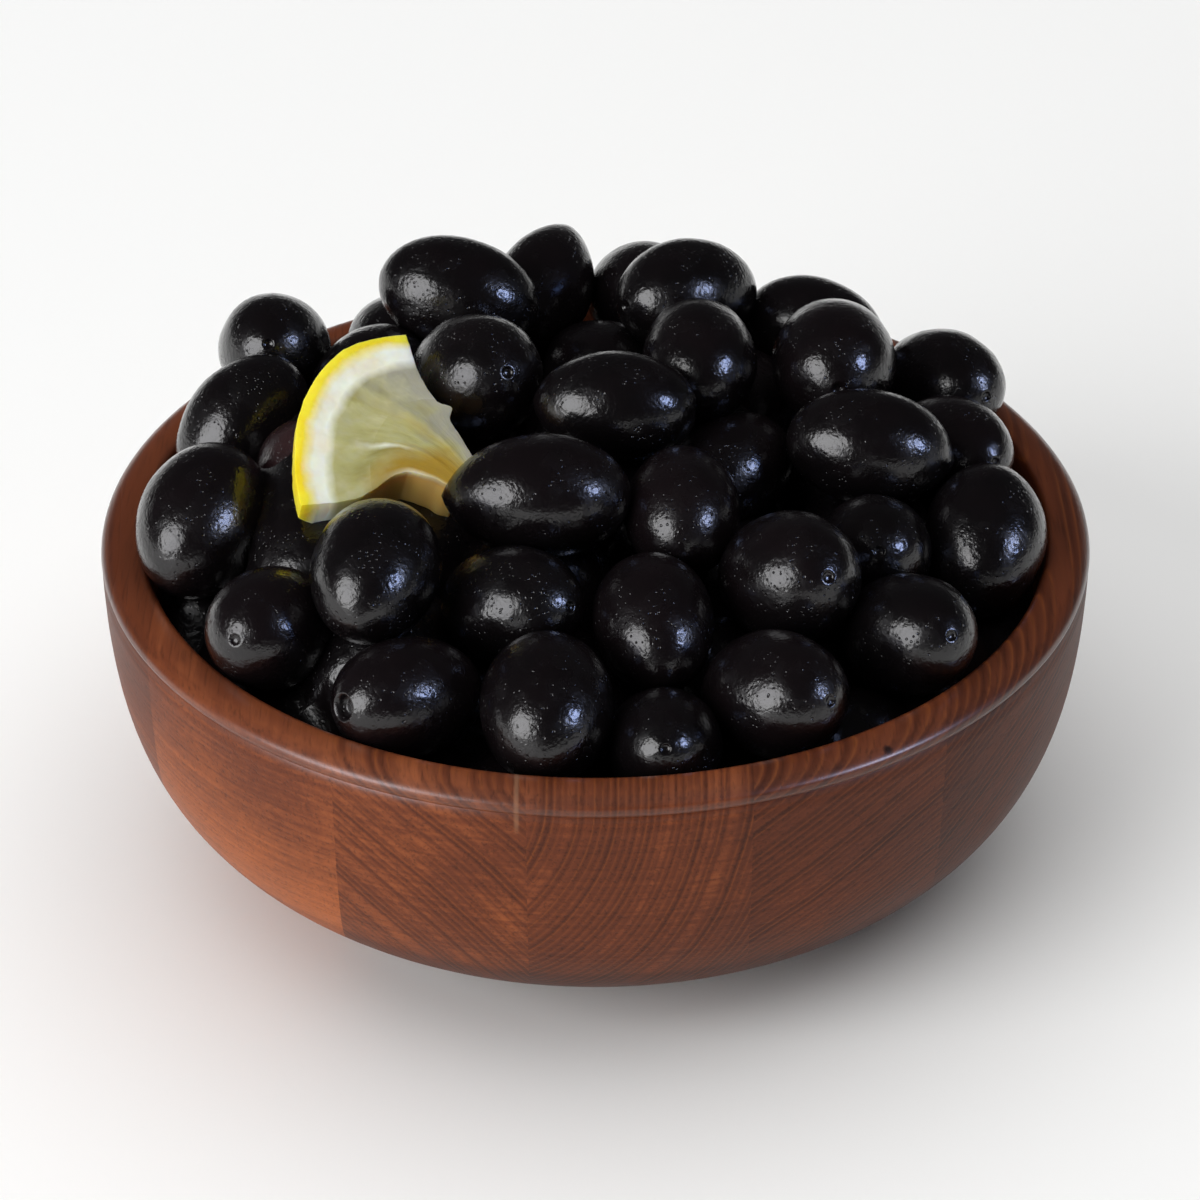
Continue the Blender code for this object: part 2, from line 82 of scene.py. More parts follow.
# An olive has a place in mm, half its length and width in mm, the heading and tilt of its length in
# degrees, and how far its head end (+) or its tail end (-) is drawn out to a point, in mm
Olive = namedtuple("Olive", "across back up half_length half_width heading tilt point", defaults=[0])
SHOWN_OLIVES = [
    # Left side, from the back rim forward
    Olive(-53, 34, 67, 12.6, 9.5, -90, 33),
    Olive(-55.5, 14, 65.5, 13.0, 9.3, 33, 40),
    Olive(-61, -13, 63, 13.6, 10.3, 73, 23),
    Olive(-48, 1, 68, 12.6, 9.0, -90, 33),
    # Along the front rim, from left to right
    Olive(-48.5, -40, 60, 12.6, 9.6, -114, 23),
    Olive(-28.5, -55, 58, 12.8, 9.2, -139, 17),
    Olive(-7, -56, 60, 13.4, 10.1, 90, 3),
    Olive(10, -62, 54, 12.4, 8.8, -90, 33),
    Olive(27, -53, 58, 13.0, 9.7, -50, 23, -1.2),
    Olive(49.5, -38, 58, 13.0, 9.6, -63, 30),
    # Second row
    Olive(-40, -39, 66, 13.2, 9.9, 82, 5),
    Olive(-12, -38, 62, 12.6, 9.4, -39, 22),
    Olive(9, -42, 61.5, 12.6, 9.3, 97, 9),
    Olive(29, -31.5, 66, 13.8, 10.4, -64, 30),
    Olive(45, -18, 60, 12.6, 9.2, -90, 33),
    Olive(63, -13, 59.5, 13.0, 9.7, 82, 31),
    # Middle of the heap
    Olive(-7.5, -21, 73, 14.0, 9.7, 0, 0, -1.0),
    Olive(14, -19, 69, 12.6, 9.1, 90, 4),
    Olive(5, 2, 77, 13.0, 8.8, -2, -3),
    Olive(44, 0, 69.5, 13.4, 9.4, 175, 8),
    Olive(58.5, 11.5, 63.5, 12.6, 9.0, -59, 18),
    Olive(59, 29, 62.5, 12.6, 9.0, -59, 15),
    Olive(-20, 11, 74.5, 13.6, 10.4, -63, 30),
    # Crest and back
    Olive(15.5, 15, 76, 12.6, 9.3, 93, 3),
    Olive(39.5, 22.5, 72.5, 13.4, 10.2, -90, 10),
    Olive(37, 37, 69.5, 12.6, 9.2, 156, 2),
    Olive(13, 41, 74, 13.0, 9.6, -145, 9),
    Olive(7.5, 53, 69, 12.6, 9.4, -61, 25),
    Olive(-7, 52, 69, 12.2, 8.7, -110, -25, -1.6),
    Olive(-23.5, 41, 73, 13.8, 9.7, 172, 12),
    Olive(-35, 52, 61, 12.6, 9.1, -67, 25),
]
DEEPER_OLIVES = [
    # These show only in the gaps between the others
    Olive(-56, -29, 51, 12.6, 9.2, -60, 10),
    Olive(-44, -17, 52, 12.6, 9.3, 20, 10),
    Olive(43, -46, 47, 12.6, 9.2, 30, 0),
    Olive(33, -8, 60, 12.6, 9.1, 20, 5),
    Olive(24, -1, 64, 12.4, 9.0, 40, 10),
    Olive(-6, 24, 65, 12.4, 8.9, -90, 20),
    Olive(-3, 36, 66, 12.4, 8.9, -60, 20),
    Olive(-35, -7, 53, 12.6, 9.2, 100, 5),
    Olive(-33, 12, 60, 12.6, 9.2, 160, -10),
    Olive(-38, 26, 65, 12.8, 9.3, 60, 8),
]

# By their places in the list: olives with an open scar, and one that is browner than the rest
DEEP_SCARS = (5, 18)
BROWN_OLIVES = (3,)
BROWN_TONE = 0.62

# How real olives stray from their plain shape, in shares of their half size. Lumps are broad or fine: this
# many of them fit into half an olive, and the fine ones are lower by their share
SHAPE_SEED = 5
OLIVE_TAPER = 0.06
OLIVE_LUMPS = (0.015, 0.035)
BROAD_LUMPS = 1.3
FINE_LUMPS = 3.1
FINE_LUMP_SHARE = 0.35
SCAR_LIP = 0.035
SCAR_LIP_RISE = 0.004
SCAR_WALL = 0.020
SCAR_FLOOR = 0.012
NIB_LENGTH = 0.03
NIB_REACH = 0.4

# Olives drawn by lot are let down into the gaps that the listed ones leave: those that lie high first
LOT_SEED = 11
LOT_DEPTH = 7 * MM
LOT_ROUNDS = [(3 * MM, 500), (12 * MM, 900)]
LOT_STEP = 1.5 * MM
LOT_RADIUS = 62.5 * MM
LOT_EDGE_HEIGHT = 57 * MM
LOT_EDGE_SLOPE = 1.0
LOT_SIZES = (0.95, 1.05)
LOT_PRESS = 1.2 * MM
USUAL_HALF_LENGTH = 12.6
USUAL_HALF_WIDTH = 9.2

# Settling: every olive is a row of balls that fill it, and balls that cross are pushed apart
SETTLE_ROUNDS = 200
SETTLE_SHARE = 0.6
SQUASH = 0.3 * MM
WALL_MARGIN = GAP + 0.25 * MM
LOOSENESS_SHOWN = 1.0
LOOSENESS_HIDDEN = 4.0

# The lemon: a quarter of a thick slice, with its core end at LEMON_TIP and its cut face up
LEMON_TIP = Vector((-18.9, -10.6, 73.5)) * MM
LEMON_FACE = Vector((0.20, -0.37, 0.907))
LEMON_TOWARDS_RIND = Vector((-0.955, 0.134, 0.265))
LEMON_THICKNESS = 9.6 * MM
# Both cut edges, from the core end to the rind, as radius in mm and angle in degrees
BACK_EDGE = [(0.4, -48), (10.3, -47), (18.8, -45), (21.5, -48.5), (26.2, -50)]
LOW_EDGE = [(6.2, 76), (8.4, 36), (12.4, 28), (14.8, 34), (18.0, 41), (22.5, 41.5), (30.0, 38.5)]
LEMON_ROUND_FROM = 0.3
# How far the rind's line stands out in mm, at shares of the way from the back edge to the low one
RIND_BULGE = [(0, 0), (0.12, 0.9), (0.25, 1.65), (0.5, 0.6), (0.75, -0.45), (0.88, -0.35), (1, 0)]
LEMON_UNDERCUT = 0.95
# Balls fill it in rows at these shares of the way to the rind, to keep the olives off it
LEMON_BALL_ROWS = (0.15, 0.38, 0.62, 0.86)
MEMBRANE_PLACES = (0.30, 0.68)
MEMBRANE_WIDTH = 0.05
MEMBRANE_HEIGHT = 0.3 * MM
MEMBRANE_FULL_FROM = 0.3
PITH_HEIGHT = 0.35 * MM
PITH_START = 0.78
PITH_BLEND = 0.06
ZEST_START = 0.91
KNIFE_SMOOTHING = 0.12
KNIFE_SEED = 7
KNIFE_MARKS = 2.2 * MM
FINE_KNIFE_MARKS = 0.8 * MM
# A shred of skin stands out of the back edge, at this share of the way to the rind
TORN_SHARE = 0.40
TORN_WIDTH = 0.045
TORN_REACH = 1.6 * MM
TORN_HEADING = -137

# Where the wood's boards meet across the bowl, in mm, and for each board its tone, how much paler a painted
# sheen of the pale floor makes it at the foot, how strong its rings are, and the middle of its rings, in mm
# across and up
BOARD_SEAMS = [-69, -39, -10.5, 22.6, 52]
BOARD_TONES = [0.56, 0.82, 0.50, 0.44, 0.34, 0.18]
BOARD_FLOOR_SHEENS = [0.26, 0.32, 0.06, 0.0, 0.0, 0.0]
BOARD_RING_STRENGTHS = [0.15, 0.14, 0.44, 0.46, 0.50, 0.44]
RING_MIDDLES = [(-60, 190), (-70, 195), (-94, -28), (-45, 60), (92, -54), (150, -60)]
# How far off a ring's middle may lie, in mm
RING_REACH = 200
RIM_PIT = (43.2 * MM, -66.0 * MM, 57.0 * MM)
GLUE_LINE = -11.4 * MM

LIGHT_DISTANCE = 3.0
KEY_WAY = (-0.73, -0.58, 0.38)
COOL_WAY = (0.80, -0.36, 0.49)


def linear(hex_colour, alpha=1.0):
    """An sRGB hex colour as the linear numbers that shaders take."""
    values = [int(hex_colour[i:i + 2], 16) / 255 for i in (1, 3, 5)]
    return (*[v / 12.92 if v <= 0.04045 else ((v + 0.055) / 1.055) ** 2.4 for v in values], alpha)


def deselect_all():
    if bpy.context.mode != "OBJECT":
        bpy.ops.object.mode_set(mode="OBJECT")
    bpy.ops.object.select_all(action="DESELECT")


def select_only(obj):
    deselect_all()
    obj.select_set(True)
    bpy.context.view_layer.objects.active = obj


def bezier(start, first_handle, second_handle, end, steps):
    """Points along a cubic curve, both ends included."""
    points = []
    for step in range(steps + 1):
        t = step / steps
        weights = ((1 - t) ** 3, 3 * (1 - t) ** 2 * t, 3 * (1 - t) * t * t, t ** 3)
        corners = (start, first_handle, second_handle, end)
        points.append(tuple(sum(w * c[axis] for w, c in zip(weights, corners)) for axis in (0, 1)))
    return points


def inner_wall(steps):
    """Radius and height from the middle of the bowl's floor up to just under its rim."""
    return bezier((0.0, FLOOR_HEIGHT), *INSIDE_HANDLES, INSIDE_TOP, steps)


def rim(size):
    """Radius and height over the rim, from its inner edge to the bottom of its outer bead."""
    inner, outer, top = size.inner_radius, size.radius, size.height
    return [
        (inner, top - 1.7 * MM),
        (inner + 0.4 * MM, top - 0.8 * MM),
        (inner + 1.2 * MM, top - 0.2 * MM),
        (inner + 3.0 * MM, top),
        (outer - 2.1 * MM, top - 0.3 * MM),
        (outer - 1.0 * MM, top - 0.8 * MM),
        (outer - 0.25 * MM, top - 1.5 * MM),
        (outer, top - 2.3 * MM),
    ]


def smooth_through(points, steps):
    """A smooth line through points of radius and height, as a turning tool leaves it."""
    line = []
    ends = [points[0]] + list(points) + [points[-1]]
    for corners in zip(ends, ends[1:], ends[2:], ends[3:]):
        for t in np.arange(steps) / steps:
            line.append(tuple(SMOOTH_WEIGHTS @ (1, t, t * t, t ** 3) @ np.array(corners)))
    return line + [points[-1]]


def spin_profile(name, profile, steps):
    """A turned piece: its profile is drawn by extruding one point along it, then spun round the axis."""
    deselect_all()
    bpy.ops.mesh.primitive_plane_add(size=MM, location=(profile[0][0], 0, profile[0][1]))
    obj = bpy.context.object
    obj.name = obj.data.name = name
    bpy.ops.object.mode_set(mode="EDIT")
    bpy.ops.mesh.select_mode(type="VERT")
    bpy.ops.mesh.select_all(action="SELECT")
    bpy.ops.mesh.merge(type="CENTER")
    for (radius, height), (next_radius, next_height) in zip(profile, profile[1:]):
        step = (next_radius - radius, 0, next_height - height)
        bpy.ops.mesh.extrude_vertices_move(TRANSFORM_OT_translate={"value": step})
    bpy.ops.mesh.select_all(action="SELECT")
    bpy.ops.mesh.spin(steps=steps, angle=math.tau, center=(0, 0, 0), axis=(0, 0, 1))
    bpy.ops.mesh.select_all(action="SELECT")
    bpy.ops.mesh.remove_doubles(threshold=MERGE)
    bpy.ops.mesh.normals_make_consistent(inside=False)
    bpy.ops.object.mode_set(mode="OBJECT")
    bpy.ops.object.transform_apply(location=True, rotation=True, scale=True)
    return obj


def place_piece(obj, slot, *nodes):
    """A finished piece rides on the one body, and the imported parts that it stands for are hidden. The slot
    is not used.
    """
    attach(obj, BODY)
    if nodes:
        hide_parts(*nodes)


def add_node(tree, kind, inputs=None, out=0, stops=None, **settings):
    """
    Adds a node with its settings, values and links, and gives one of its outputs, or all of them.
    Where a pattern's scale is divided by MM, it says how often the pattern repeats in a millimetre.
    """
    node = tree.nodes.new("ShaderNode" + kind)
    for name, value in settings.items():
        setattr(node, name, value)
    for socket, value in (inputs or {}).items():
        if isinstance(value, bpy.types.NodeSocket):
            tree.links.new(value, node.inputs[socket])
        else:
            node.inputs[socket].default_value = value
    elements = node.color_ramp.elements if stops else []
    for place, value in (stops or [])[2:]:
        elements.new(place)
    for element, (place, value) in zip(elements, stops or []):
        element.position = place
        element.color = value if hasattr(value, "__len__") else (value, value, value, 1.0)
    return node.outputs if out is None else node.outputs[out]


def new_material(name, **surface):
    """A material with what is the same all over it set on its shader, and a way to add its nodes."""
    material = bpy.data.materials.new(name)
    material.use_nodes = True
    shader = material.node_tree.nodes["Principled BSDF"]
    for socket, value in surface.items():
        shader.inputs[socket.replace("_", " ")].default_value = value
    return material, partial(add_node, material.node_tree)


def link_surface(material, links):
    """Links what changes over the surface to the sockets of the material's shader."""
    shader = material.node_tree.nodes["Principled BSDF"]
    for socket, value in links.items():
        material.node_tree.links.new(value, shader.inputs[socket])
    return material


def oiled_wood(look):
    """Reddish hardwood boards, glued, turned and oiled: fine rings, pores, tool marks and a satin rim."""
    material, add = new_material(
        "oiled_laminated_hardwood", IOR=1.5, Specular_IOR_Level=0.14, Coat_Roughness=0.34)
    place = add("TexCoord", out="Object")
    across, back, up = add("SeparateXYZ", {0: place}, out=None)
    board = add("MapRange", {"Value": across, "From Min": -look.radius, "From Max": look.radius})
    starts = [0.0] + [(seam * MM / look.radius + 1) / 2 for seam in BOARD_SEAMS]
    ring_middles = [(0.5 + x / RING_REACH / 2, 0.5 + z / RING_REACH / 2, 0, 1) for x, z in RING_MIDDLES]
    by_board = []
    for values in (BOARD_TONES, BOARD_FLOOR_SHEENS, BOARD_RING_STRENGTHS, ring_middles):
        by_board.append(add("ValToRGB", {0: board}, stops=list(zip(starts, values))))
        by_board[-1].node.color_ramp.interpolation = "CONSTANT"
    tone, floor_sheen, strength, middle = by_board
    middle = add("VectorMath", {0: middle, 1: (0.5, 0.5, 0)}, operation="SUBTRACT")
    middle = add("VectorMath", {0: middle, "Scale": 2 * RING_REACH * MM}, operation="SCALE")
    section = add("CombineXYZ", {0: across, 1: up})
    from_middle = add("VectorMath", {0: section, 1: middle}, operation="DISTANCE", out="Value")
    # The rings wander a little and are stronger in some years
    along = add("Mapping", {"Vector": place, "Scale": (1, 0.15, 1)})
    wander = add("TexNoise", {"Vector": along, "Scale": 0.026 / MM, "Detail": 1.5})
    from_middle = add("Math", {0: wander, 1: look.ring_wander, 2: from_middle}, operation="MULTIPLY_ADD")
    turns = add("Math", {0: from_middle, 1: look.ring_spacing}, operation="DIVIDE")
    year = add("Math", {0: turns}, operation="FRACT")
    growth = add("TexNoise", {"W": turns, "Scale": 0.45, "Detail": 3.0}, noise_dimensions="1D")
    years = add("ValToRGB", {0: growth}, stops=[(0.32, 0.10), (0.68, 1.0)])
    years = add("Math", {0: years, 1: strength}, operation="MULTIPLY")
    late_wood = add("ValToRGB", {0: year}, stops=[(0.42, 0.0), (0.74, 1.0), (0.82, 1.0), (0.95, 0.0)])
    late_wood = add("Math", {0: late_wood, 1: years}, operation="MULTIPLY")
    early_wood = add("ValToRGB", {0: year}, stops=[(0.0, 0.0), (0.14, 1.0), (0.40, 0.0)])
    early_wood = add("Math", {0: early_wood, 1: years}, operation="MULTIPLY")
    # Pores 0.3 mm wide run along the boards: dots at the front, short streaks on the rim and sides
    fine = add("Mapping", {"Vector": place, "Scale": (1, 0.05, 1)})
    pores = add("TexNoise", {"Vector": fine, "Scale": 2.2 / MM, "Detail": 2.0})
    pores = add("ValToRGB", {0: pores}, stops=[(0.30, 1.0), (0.47, 0.0)])
    fibres = add("TexNoise", {"Vector": fine, "Scale": 0.7 / MM, "Detail": 3.0, "Roughness": 0.6})
    cloud = add("TexNoise", {"Vector": along, "Scale": 0.055 / MM, "Detail": 3.0})
    # Traces of the turning tool go round the bowl, about 1 mm apart
    tool = add("TexNoise", {"W": up, "Scale": 1 / MM, "Detail": 2.0}, noise_dimensions="1D")
    # Noise keeps mostly to this span
    span = {"From Min": 0.3, "From Max": 0.7}
    uneven = add("MapRange", {"Value": cloud, **span, "To Min": -0.14, "To Max": 0.14})
    uneven = add("Math", {0: fibres, 1: 0.35, 2: uneven}, operation="MULTIPLY_ADD")
    uneven = add("Math", {0: tool, 1: 0.30, 2: uneven}, operation="MULTIPLY_ADD")
    uneven = add("Math", {0: uneven, 1: 0.325}, operation="SUBTRACT")
    tone = add("Math", {0: tone, 1: uneven})
    # Groups of rings are paler or darker where they are strong
    group = add("MapRange", {"Value": growth, **span, "To Min": 0.25, "To Max": -0.25})
    tone = add("Math", {0: group, 1: strength, 2: tone}, operation="MULTIPLY_ADD")
    # Painted sheen of the pale floor: some boards are paler towards the foot and darker towards the rim
    low = {"Value": up, "From Min": 46 * MM, "From Max": 12 * MM, "To Min": -1.0, "To Max": 1.0}
    low = add("MapRange", low)
    tone = add("Math", {0: low, 1: floor_sheen, 2: tone}, operation="MULTIPLY_ADD")
    # Brine and oil have darkened the rim's inner edge, and painted shade of the olives darkens it further
    out = add("VectorMath", {0: add("CombineXYZ", {0: across, 1: back})}, operation="LENGTH", out="Value")
    inner = look.inner_radius
    soaked_and_shaded = add("MapRange", {"Value": out, "From Min": inner + 1.6 * MM, "From Max": inner + 0.2 * MM})
    tone = add("Math", {0: soaked_and_shaded, 1: -0.30, 2: tone}, operation="MULTIPLY_ADD")
    colour = add("ValToRGB", {0: tone}, stops=[(0.0, look.dark), (0.5, look.middle), (1.0, look.light)])
    pore_share = add("Math", {0: pores, 1: 0.35}, operation="MULTIPLY")
    # A pit in the rim, and a pale glue line over it where two boards meet
    pit = add("VectorMath", {0: place, 1: RIM_PIT}, operation="DISTANCE", out="Value")
    pit = add("MapRange", {"Value": pit, "From Min": 0.9 * MM, "From Max": 0.4 * MM})
    glue = add("Math", {0: across, 1: -GLUE_LINE}, operation="ADD")
    glue = add("MapRange", {
        "Value": add("Math", {0: glue}, operation="ABSOLUTE"), "From Min": 0.5 * MM, "From Max": 0.15 * MM})
    on_rim = add("MapRange", {"Value": up, "From Min": 51 * MM, "From Max": 53 * MM, "To Max": 0.22})
    glue = add("Math", {0: glue, 1: on_rim}, operation="MULTIPLY")
    layers = [(early_wood, look.early_wood), (late_wood, look.late_wood), (pore_share, look.pore),
              (pit, look.pore), (glue, look.glue)]
    for share, above in layers:
        colour = add("Mix", {0: share, 6: colour, 7: above}, out=2, data_type="RGBA")
    # Hands have polished the rim, and the wall below is duller
    polish = add("MapRange", {"Value": up, "From Min": 53.5 * MM, "From Max": 55.5 * MM})
    gloss = add("MapRange", {"Value": polish, "To Min": 0.04, "To Max": 0.75})
    rough = add("MapRange", {"Value": cloud, **span, "To Min": 0.42, "To Max": 0.54})
    rough = add("Math", {0: polish, 1: -0.17, 2: rough}, operation="MULTIPLY_ADD")
    relief = add("Math", {0: tool, 1: pores}, operation="SUBTRACT")
    relief = add("Math", {0: pit, 1: -8.0, 2: relief}, operation="MULTIPLY_ADD")
    normal = add("Bump", {"Height": relief, "Distance": 0.02 * MM})
    links = {"Base Color": colour, "Roughness": rough, "Coat Weight": gloss, "Normal": normal}
    return link_surface(material, links)


def olive_skin(look):
    """Cured olive skin in brine: near black, brown where thin, with fine pores that break up the gloss."""
    material, add = new_material(
        "cured_olive_skin", IOR=1.45, Specular_IOR_Level=0.45,
        Coat_Weight=0.6, Coat_Roughness=0.13, Coat_IOR=1.35)
    place = add("TexCoord", out="Object")
    tone = add("Attribute", attribute_name="tone", out="Fac")
    cloud = add("TexNoise", {"Vector": place, "Scale": 0.15 / MM, "Detail": 3.0})
    brown = add("Math", {0: cloud, 1: 0.5, 2: tone}, operation="MULTIPLY_ADD")
    stops = [(0.20, look.black), (0.70, look.purple), (0.96, look.brown)]
    colour = add("ValToRGB", {0: brown}, stops=stops)
    # Pores about 0.35 mm wide and 0.9 mm apart, only on parts of the skin
    pores = add("TexVoronoi", {"Vector": place, "Scale": 1.1 / MM}, out="Distance")
    pores = add("ValToRGB", {0: pores}, stops=[(0.12, 1.0), (0.26, 0.0)])
    where = add("TexNoise", {"Vector": place, "Scale": 0.21 / MM, "Detail": 2.0})
    where = add("ValToRGB", {0: where}, stops=[(0.46, 0.0), (0.58, 1.0)])
    pores = add("Math", {0: pores, 1: where}, operation="MULTIPLY")
    # Beads of brine 0.3 mm across stand on the skin here and there
    beads = add("TexVoronoi", {"Vector": place, "Scale": 0.43 / MM}, out="Distance")
    beads = add("ValToRGB", {0: beads}, stops=[(0.0, 1.0), (0.075, 0.0)])
    beads = add("Math", {0: beads, 1: where}, operation="MULTIPLY")
    soft = add("TexNoise", {"Vector": place, "Scale": 0.3 / MM, "Detail": 2.0})
    grain = add("TexNoise", {"Vector": place, "Scale": 1.5 / MM, "Detail": 2.0})
    relief = add("Math", {0: grain, 1: 0.55, 2: soft}, operation="MULTIPLY_ADD")
    relief = add("Math", {0: pores, 1: -0.9, 2: relief}, operation="MULTIPLY_ADD")
    relief = add("Math", {0: beads, 1: 1.2, 2: relief}, operation="MULTIPLY_ADD")
    rough = add("MapRange", {"Value": where, "To Min": 0.20, "To Max": 0.30})
    normal = add("Bump", {"Height": relief, "Distance": 0.14 * MM})
    links = {"Base Color": colour, "Roughness": rough, "Normal": normal, "Coat Normal": normal}
    return link_surface(material, links)


def cut_lemon(look):
    """Cut lemon: oily yellow zest, white pith, and wet, half-clear flesh with painted amber shade at its core
    end, a painted glow on its cut side and painted wet glints.
    """
    material, add = new_material(
        "cut_lemon", IOR=1.37, Coat_Weight=0.3, Coat_Roughness=0.15, Coat_IOR=1.33,
        Subsurface_Weight=0.8, Subsurface_Scale=1.0, Subsurface_Radius=(4.5 * MM, 3.6 * MM, 1.4 * MM))
    on_face = add("TexCoord", out="UV")
    place = add("TexCoord", out="Object")
    out, turn, _ = add("SeparateXYZ", {0: on_face}, out=None)
    depth = add("Attribute", attribute_name="depth", out="Fac")
    cloud = add("TexNoise", {"Vector": place, "Scale": 0.19 / MM, "Detail": 3.0})
    shift = add("Math", {0: cloud, 1: 0.5}, operation="SUBTRACT")

    def band(value, middle, width, strength):
        """A soft line along the face, strongest where the value is at the middle."""
        away = add("Math", {0: value, 1: middle}, operation="SUBTRACT")
        away = add("Math", {0: away}, operation="ABSOLUTE")
        return add("MapRange", {"Value": away, "From Min": width, "From Max": 0.0, "To Max": strength})

    # Juice sacs, one or two millimetres wide and four long, point from the rind to the core
    bent = add("Math", {0: shift, 1: 0.10, 2: turn}, operation="MULTIPLY_ADD")
    grown = add("CombineXYZ", {0: out, 1: bent})
    sacs = add("Mapping", {"Vector": grown, "Scale": (5.0, 13.0, 1)})
    sacs = {"Vector": sacs, "Scale": 1.0, "Smoothness": 0.7}
    sacs = add("TexVoronoi", sacs, "Distance", feature="SMOOTH_F1")
    streaks = add("Mapping", {"Vector": grown, "Scale": (3.0, 9.0, 1)})
    streaks = add("TexNoise", {"Vector": streaks, "Scale": 1.0, "Detail": 3.0, "Roughness": 0.5})
    light = add("Math", {0: sacs, 1: 0.18, 2: streaks}, operation="MULTIPLY_ADD")
    stops = [(0.36, look.pulp_deep), (0.60, look.pulp), (0.88, look.pulp_pale)]
    colour = add("ValToRGB", {0: light}, stops=stops)
    # The flesh is greyer and clearer along its back edge, beside a yellow streak
    clear = add("Math", {0: shift, 1: 0.7, 2: turn}, operation="MULTIPLY_ADD")
    clear = add("ValToRGB", {0: clear}, stops=[(0.10, 0.95), (0.40, 0.0)])
    inward = add("MapRange", {"Value": out, "From Min": 0.72, "From Max": 0.35})
    streak = add("Math", {0: band(bent, 0.36, 0.10, 0.55), 1: inward}, operation="MULTIPLY")
    # Painted shade: the flesh is amber towards the core, and below the lower cut edge, where it lies in shade
    core = add("Math", {0: out, 1: -1.35, 2: turn}, operation="MULTIPLY_ADD")
    core = add("Math", {0: shift, 1: 0.6, 2: core}, operation="MULTIPLY_ADD")
    core = add("ValToRGB", {0: core}, stops=[(0.12, 0.0), (0.50, 1.0)])
    # A whitish skin between two segments, painted bright as a wet glint on it, and a pale line where the
    # lower edge was cut, which is a painted glint along that edge
    wavy = add("Math", {0: shift, 1: 0.12, 2: turn}, operation="MULTIPLY_ADD")
    skin = band(wavy, MEMBRANE_PLACES[1], 0.035, 0.8)
    skin = add("Math", {0: skin, 1: band(out, 0.42, 0.20, 1.0)}, operation="MULTIPLY")
    cut_edge_glint = add("Math", {0: band(turn, 1.0, 0.07, 0.75), 1: band(out, 0.18, 0.25, 1.0)}, operation="MULTIPLY")
    # Painted glow: the cut side under the lower cut edge lies in shade and is painted a bright amber, as if
    # light shone through the flesh
    side = add("ValToRGB", {0: depth}, stops=[(0.05, 0.0), (0.14, 1.0)])
    near_core = add("MapRange", {"Value": out, "From Min": 0.70, "From Max": 0.40})
    side = add("Math", {0: side, 1: near_core}, operation="MULTIPLY")
    # Rind: from the edge of the face inwards, and up the sides from below, but not at the core end
    outer = add("MapRange", {"Value": out, "From Min": 0.25, "From Max": 0.50})
    rind = add("MapRange", {"Value": depth, "From Min": 0.70, "To Min": PITH_START - 0.04, "To Max": 0.98})
    rind = add("Math", {0: rind, 1: outer}, operation="MULTIPLY")
    rind = add("Math", {0: rind, 1: out}, operation="MAXIMUM")
    rind = add("Math", {0: shift, 1: 0.09, 2: rind}, operation="MULTIPLY_ADD")
    pith = add("ValToRGB", {0: rind}, stops=[(PITH_START - 0.04, 0.0), (PITH_START + 0.03, 1.0)])
    cream = add("ValToRGB", {0: cloud}, stops=[(0.40, look.pith), (0.75, look.pith_warm)])
    zest = add("ValToRGB", {0: rind}, stops=[(ZEST_START - 0.03, 0.0), (ZEST_START + 0.05, 1.0)])
    peel = add("ValToRGB", {0: cloud}, stops=[(0.35, look.zest_deep), (0.60, look.zest)])
    layers = [(clear, look.pulp_grey), (streak, look.amber_pale), (core, look.shaded_amber), (skin, look.pith),
              (cut_edge_glint, look.pith_warm), (side, look.side), (pith, cream), (zest, peel)]
    for share, above in layers:
        colour = add("Mix", {0: share, 6: colour, 7: above}, out=2, data_type="RGBA")
    # Oil pits of the peel are 1 mm apart
    pits = add("TexVoronoi", {"Vector": place, "Scale": 1 / MM}, "Distance", feature="SMOOTH_F1")
    pits = add("Math", {0: pits, 1: zest}, operation="MULTIPLY")
    juicy = add("Math", {0: 1.0, 1: pith}, operation="SUBTRACT")
    juicy = add("Math", {0: juicy, 1: side}, operation="SUBTRACT", use_clamp=True)
    relief = add("Math", {0: light, 1: juicy}, operation="MULTIPLY")
    relief = add("Math", {0: pits, 1: 0.5, 2: relief}, operation="MULTIPLY_ADD")
    normal = add("Bump", {"Height": relief, "Distance": 0.25 * MM})
    rough = add("MapRange", {"Value": juicy, "To Min": 0.5, "To Max": 0.30})
    return link_surface(material, {"Base Color": colour, "Roughness": rough, "Normal": normal})


def colour_of(name, description, hex_colour):
    """A colour that the user can change, with its default given in hex."""
    return FloatVectorProperty(
        name=name, description=description, default=linear(hex_colour),
        size=4, min=0, max=1, subtype="COLOR")


def length_of(name, description, default):
    return FloatProperty(name=name, description=description, default=default, unit="LENGTH")


class BowlLook(bpy.types.PropertyGroup):
    radius: length_of("Radius", "Over the rim's bead", 80 * MM)
    height: length_of("Height", "From foot to rim", 57.8 * MM)
    inner_radius: length_of("Inner radius", "At the rim", 72.8 * MM)
    foot_radius: length_of("Foot radius", "Flat it stands on", 36 * MM)
    groove_height: length_of("Groove", "Height of the groove under the bead", 54.6 * MM)
    groove_depth: length_of("Groove depth", "Into the wall", 0.4 * MM)
    ring_spacing: length_of("Ring spacing", "Between the wood's rings", 1.15 * MM)
    ring_wander: length_of("Ring wander", "How far a ring strays from its circle", 4 * MM)
    steps: IntProperty(name="Steps", description="Steps round the bowl", default=192, min=32)
    light: colour_of("Light wood", "The palest boards", "#A35A30")
    middle: colour_of("Middle wood", "Most boards", "#66331C")
    dark: colour_of("Dark wood", "The darkest boards", "#3C1B0F")
    early_wood: colour_of("Early wood", "Pale line of each ring", "#8C4C20")
    late_wood: colour_of("Late wood", "Dark line of each ring", "#33180E")
    pore: colour_of("Pores", "Pores and the pit in the rim", "#221009")
    glue: colour_of("Glue line", "Where two boards meet at the rim", "#B98E6C")


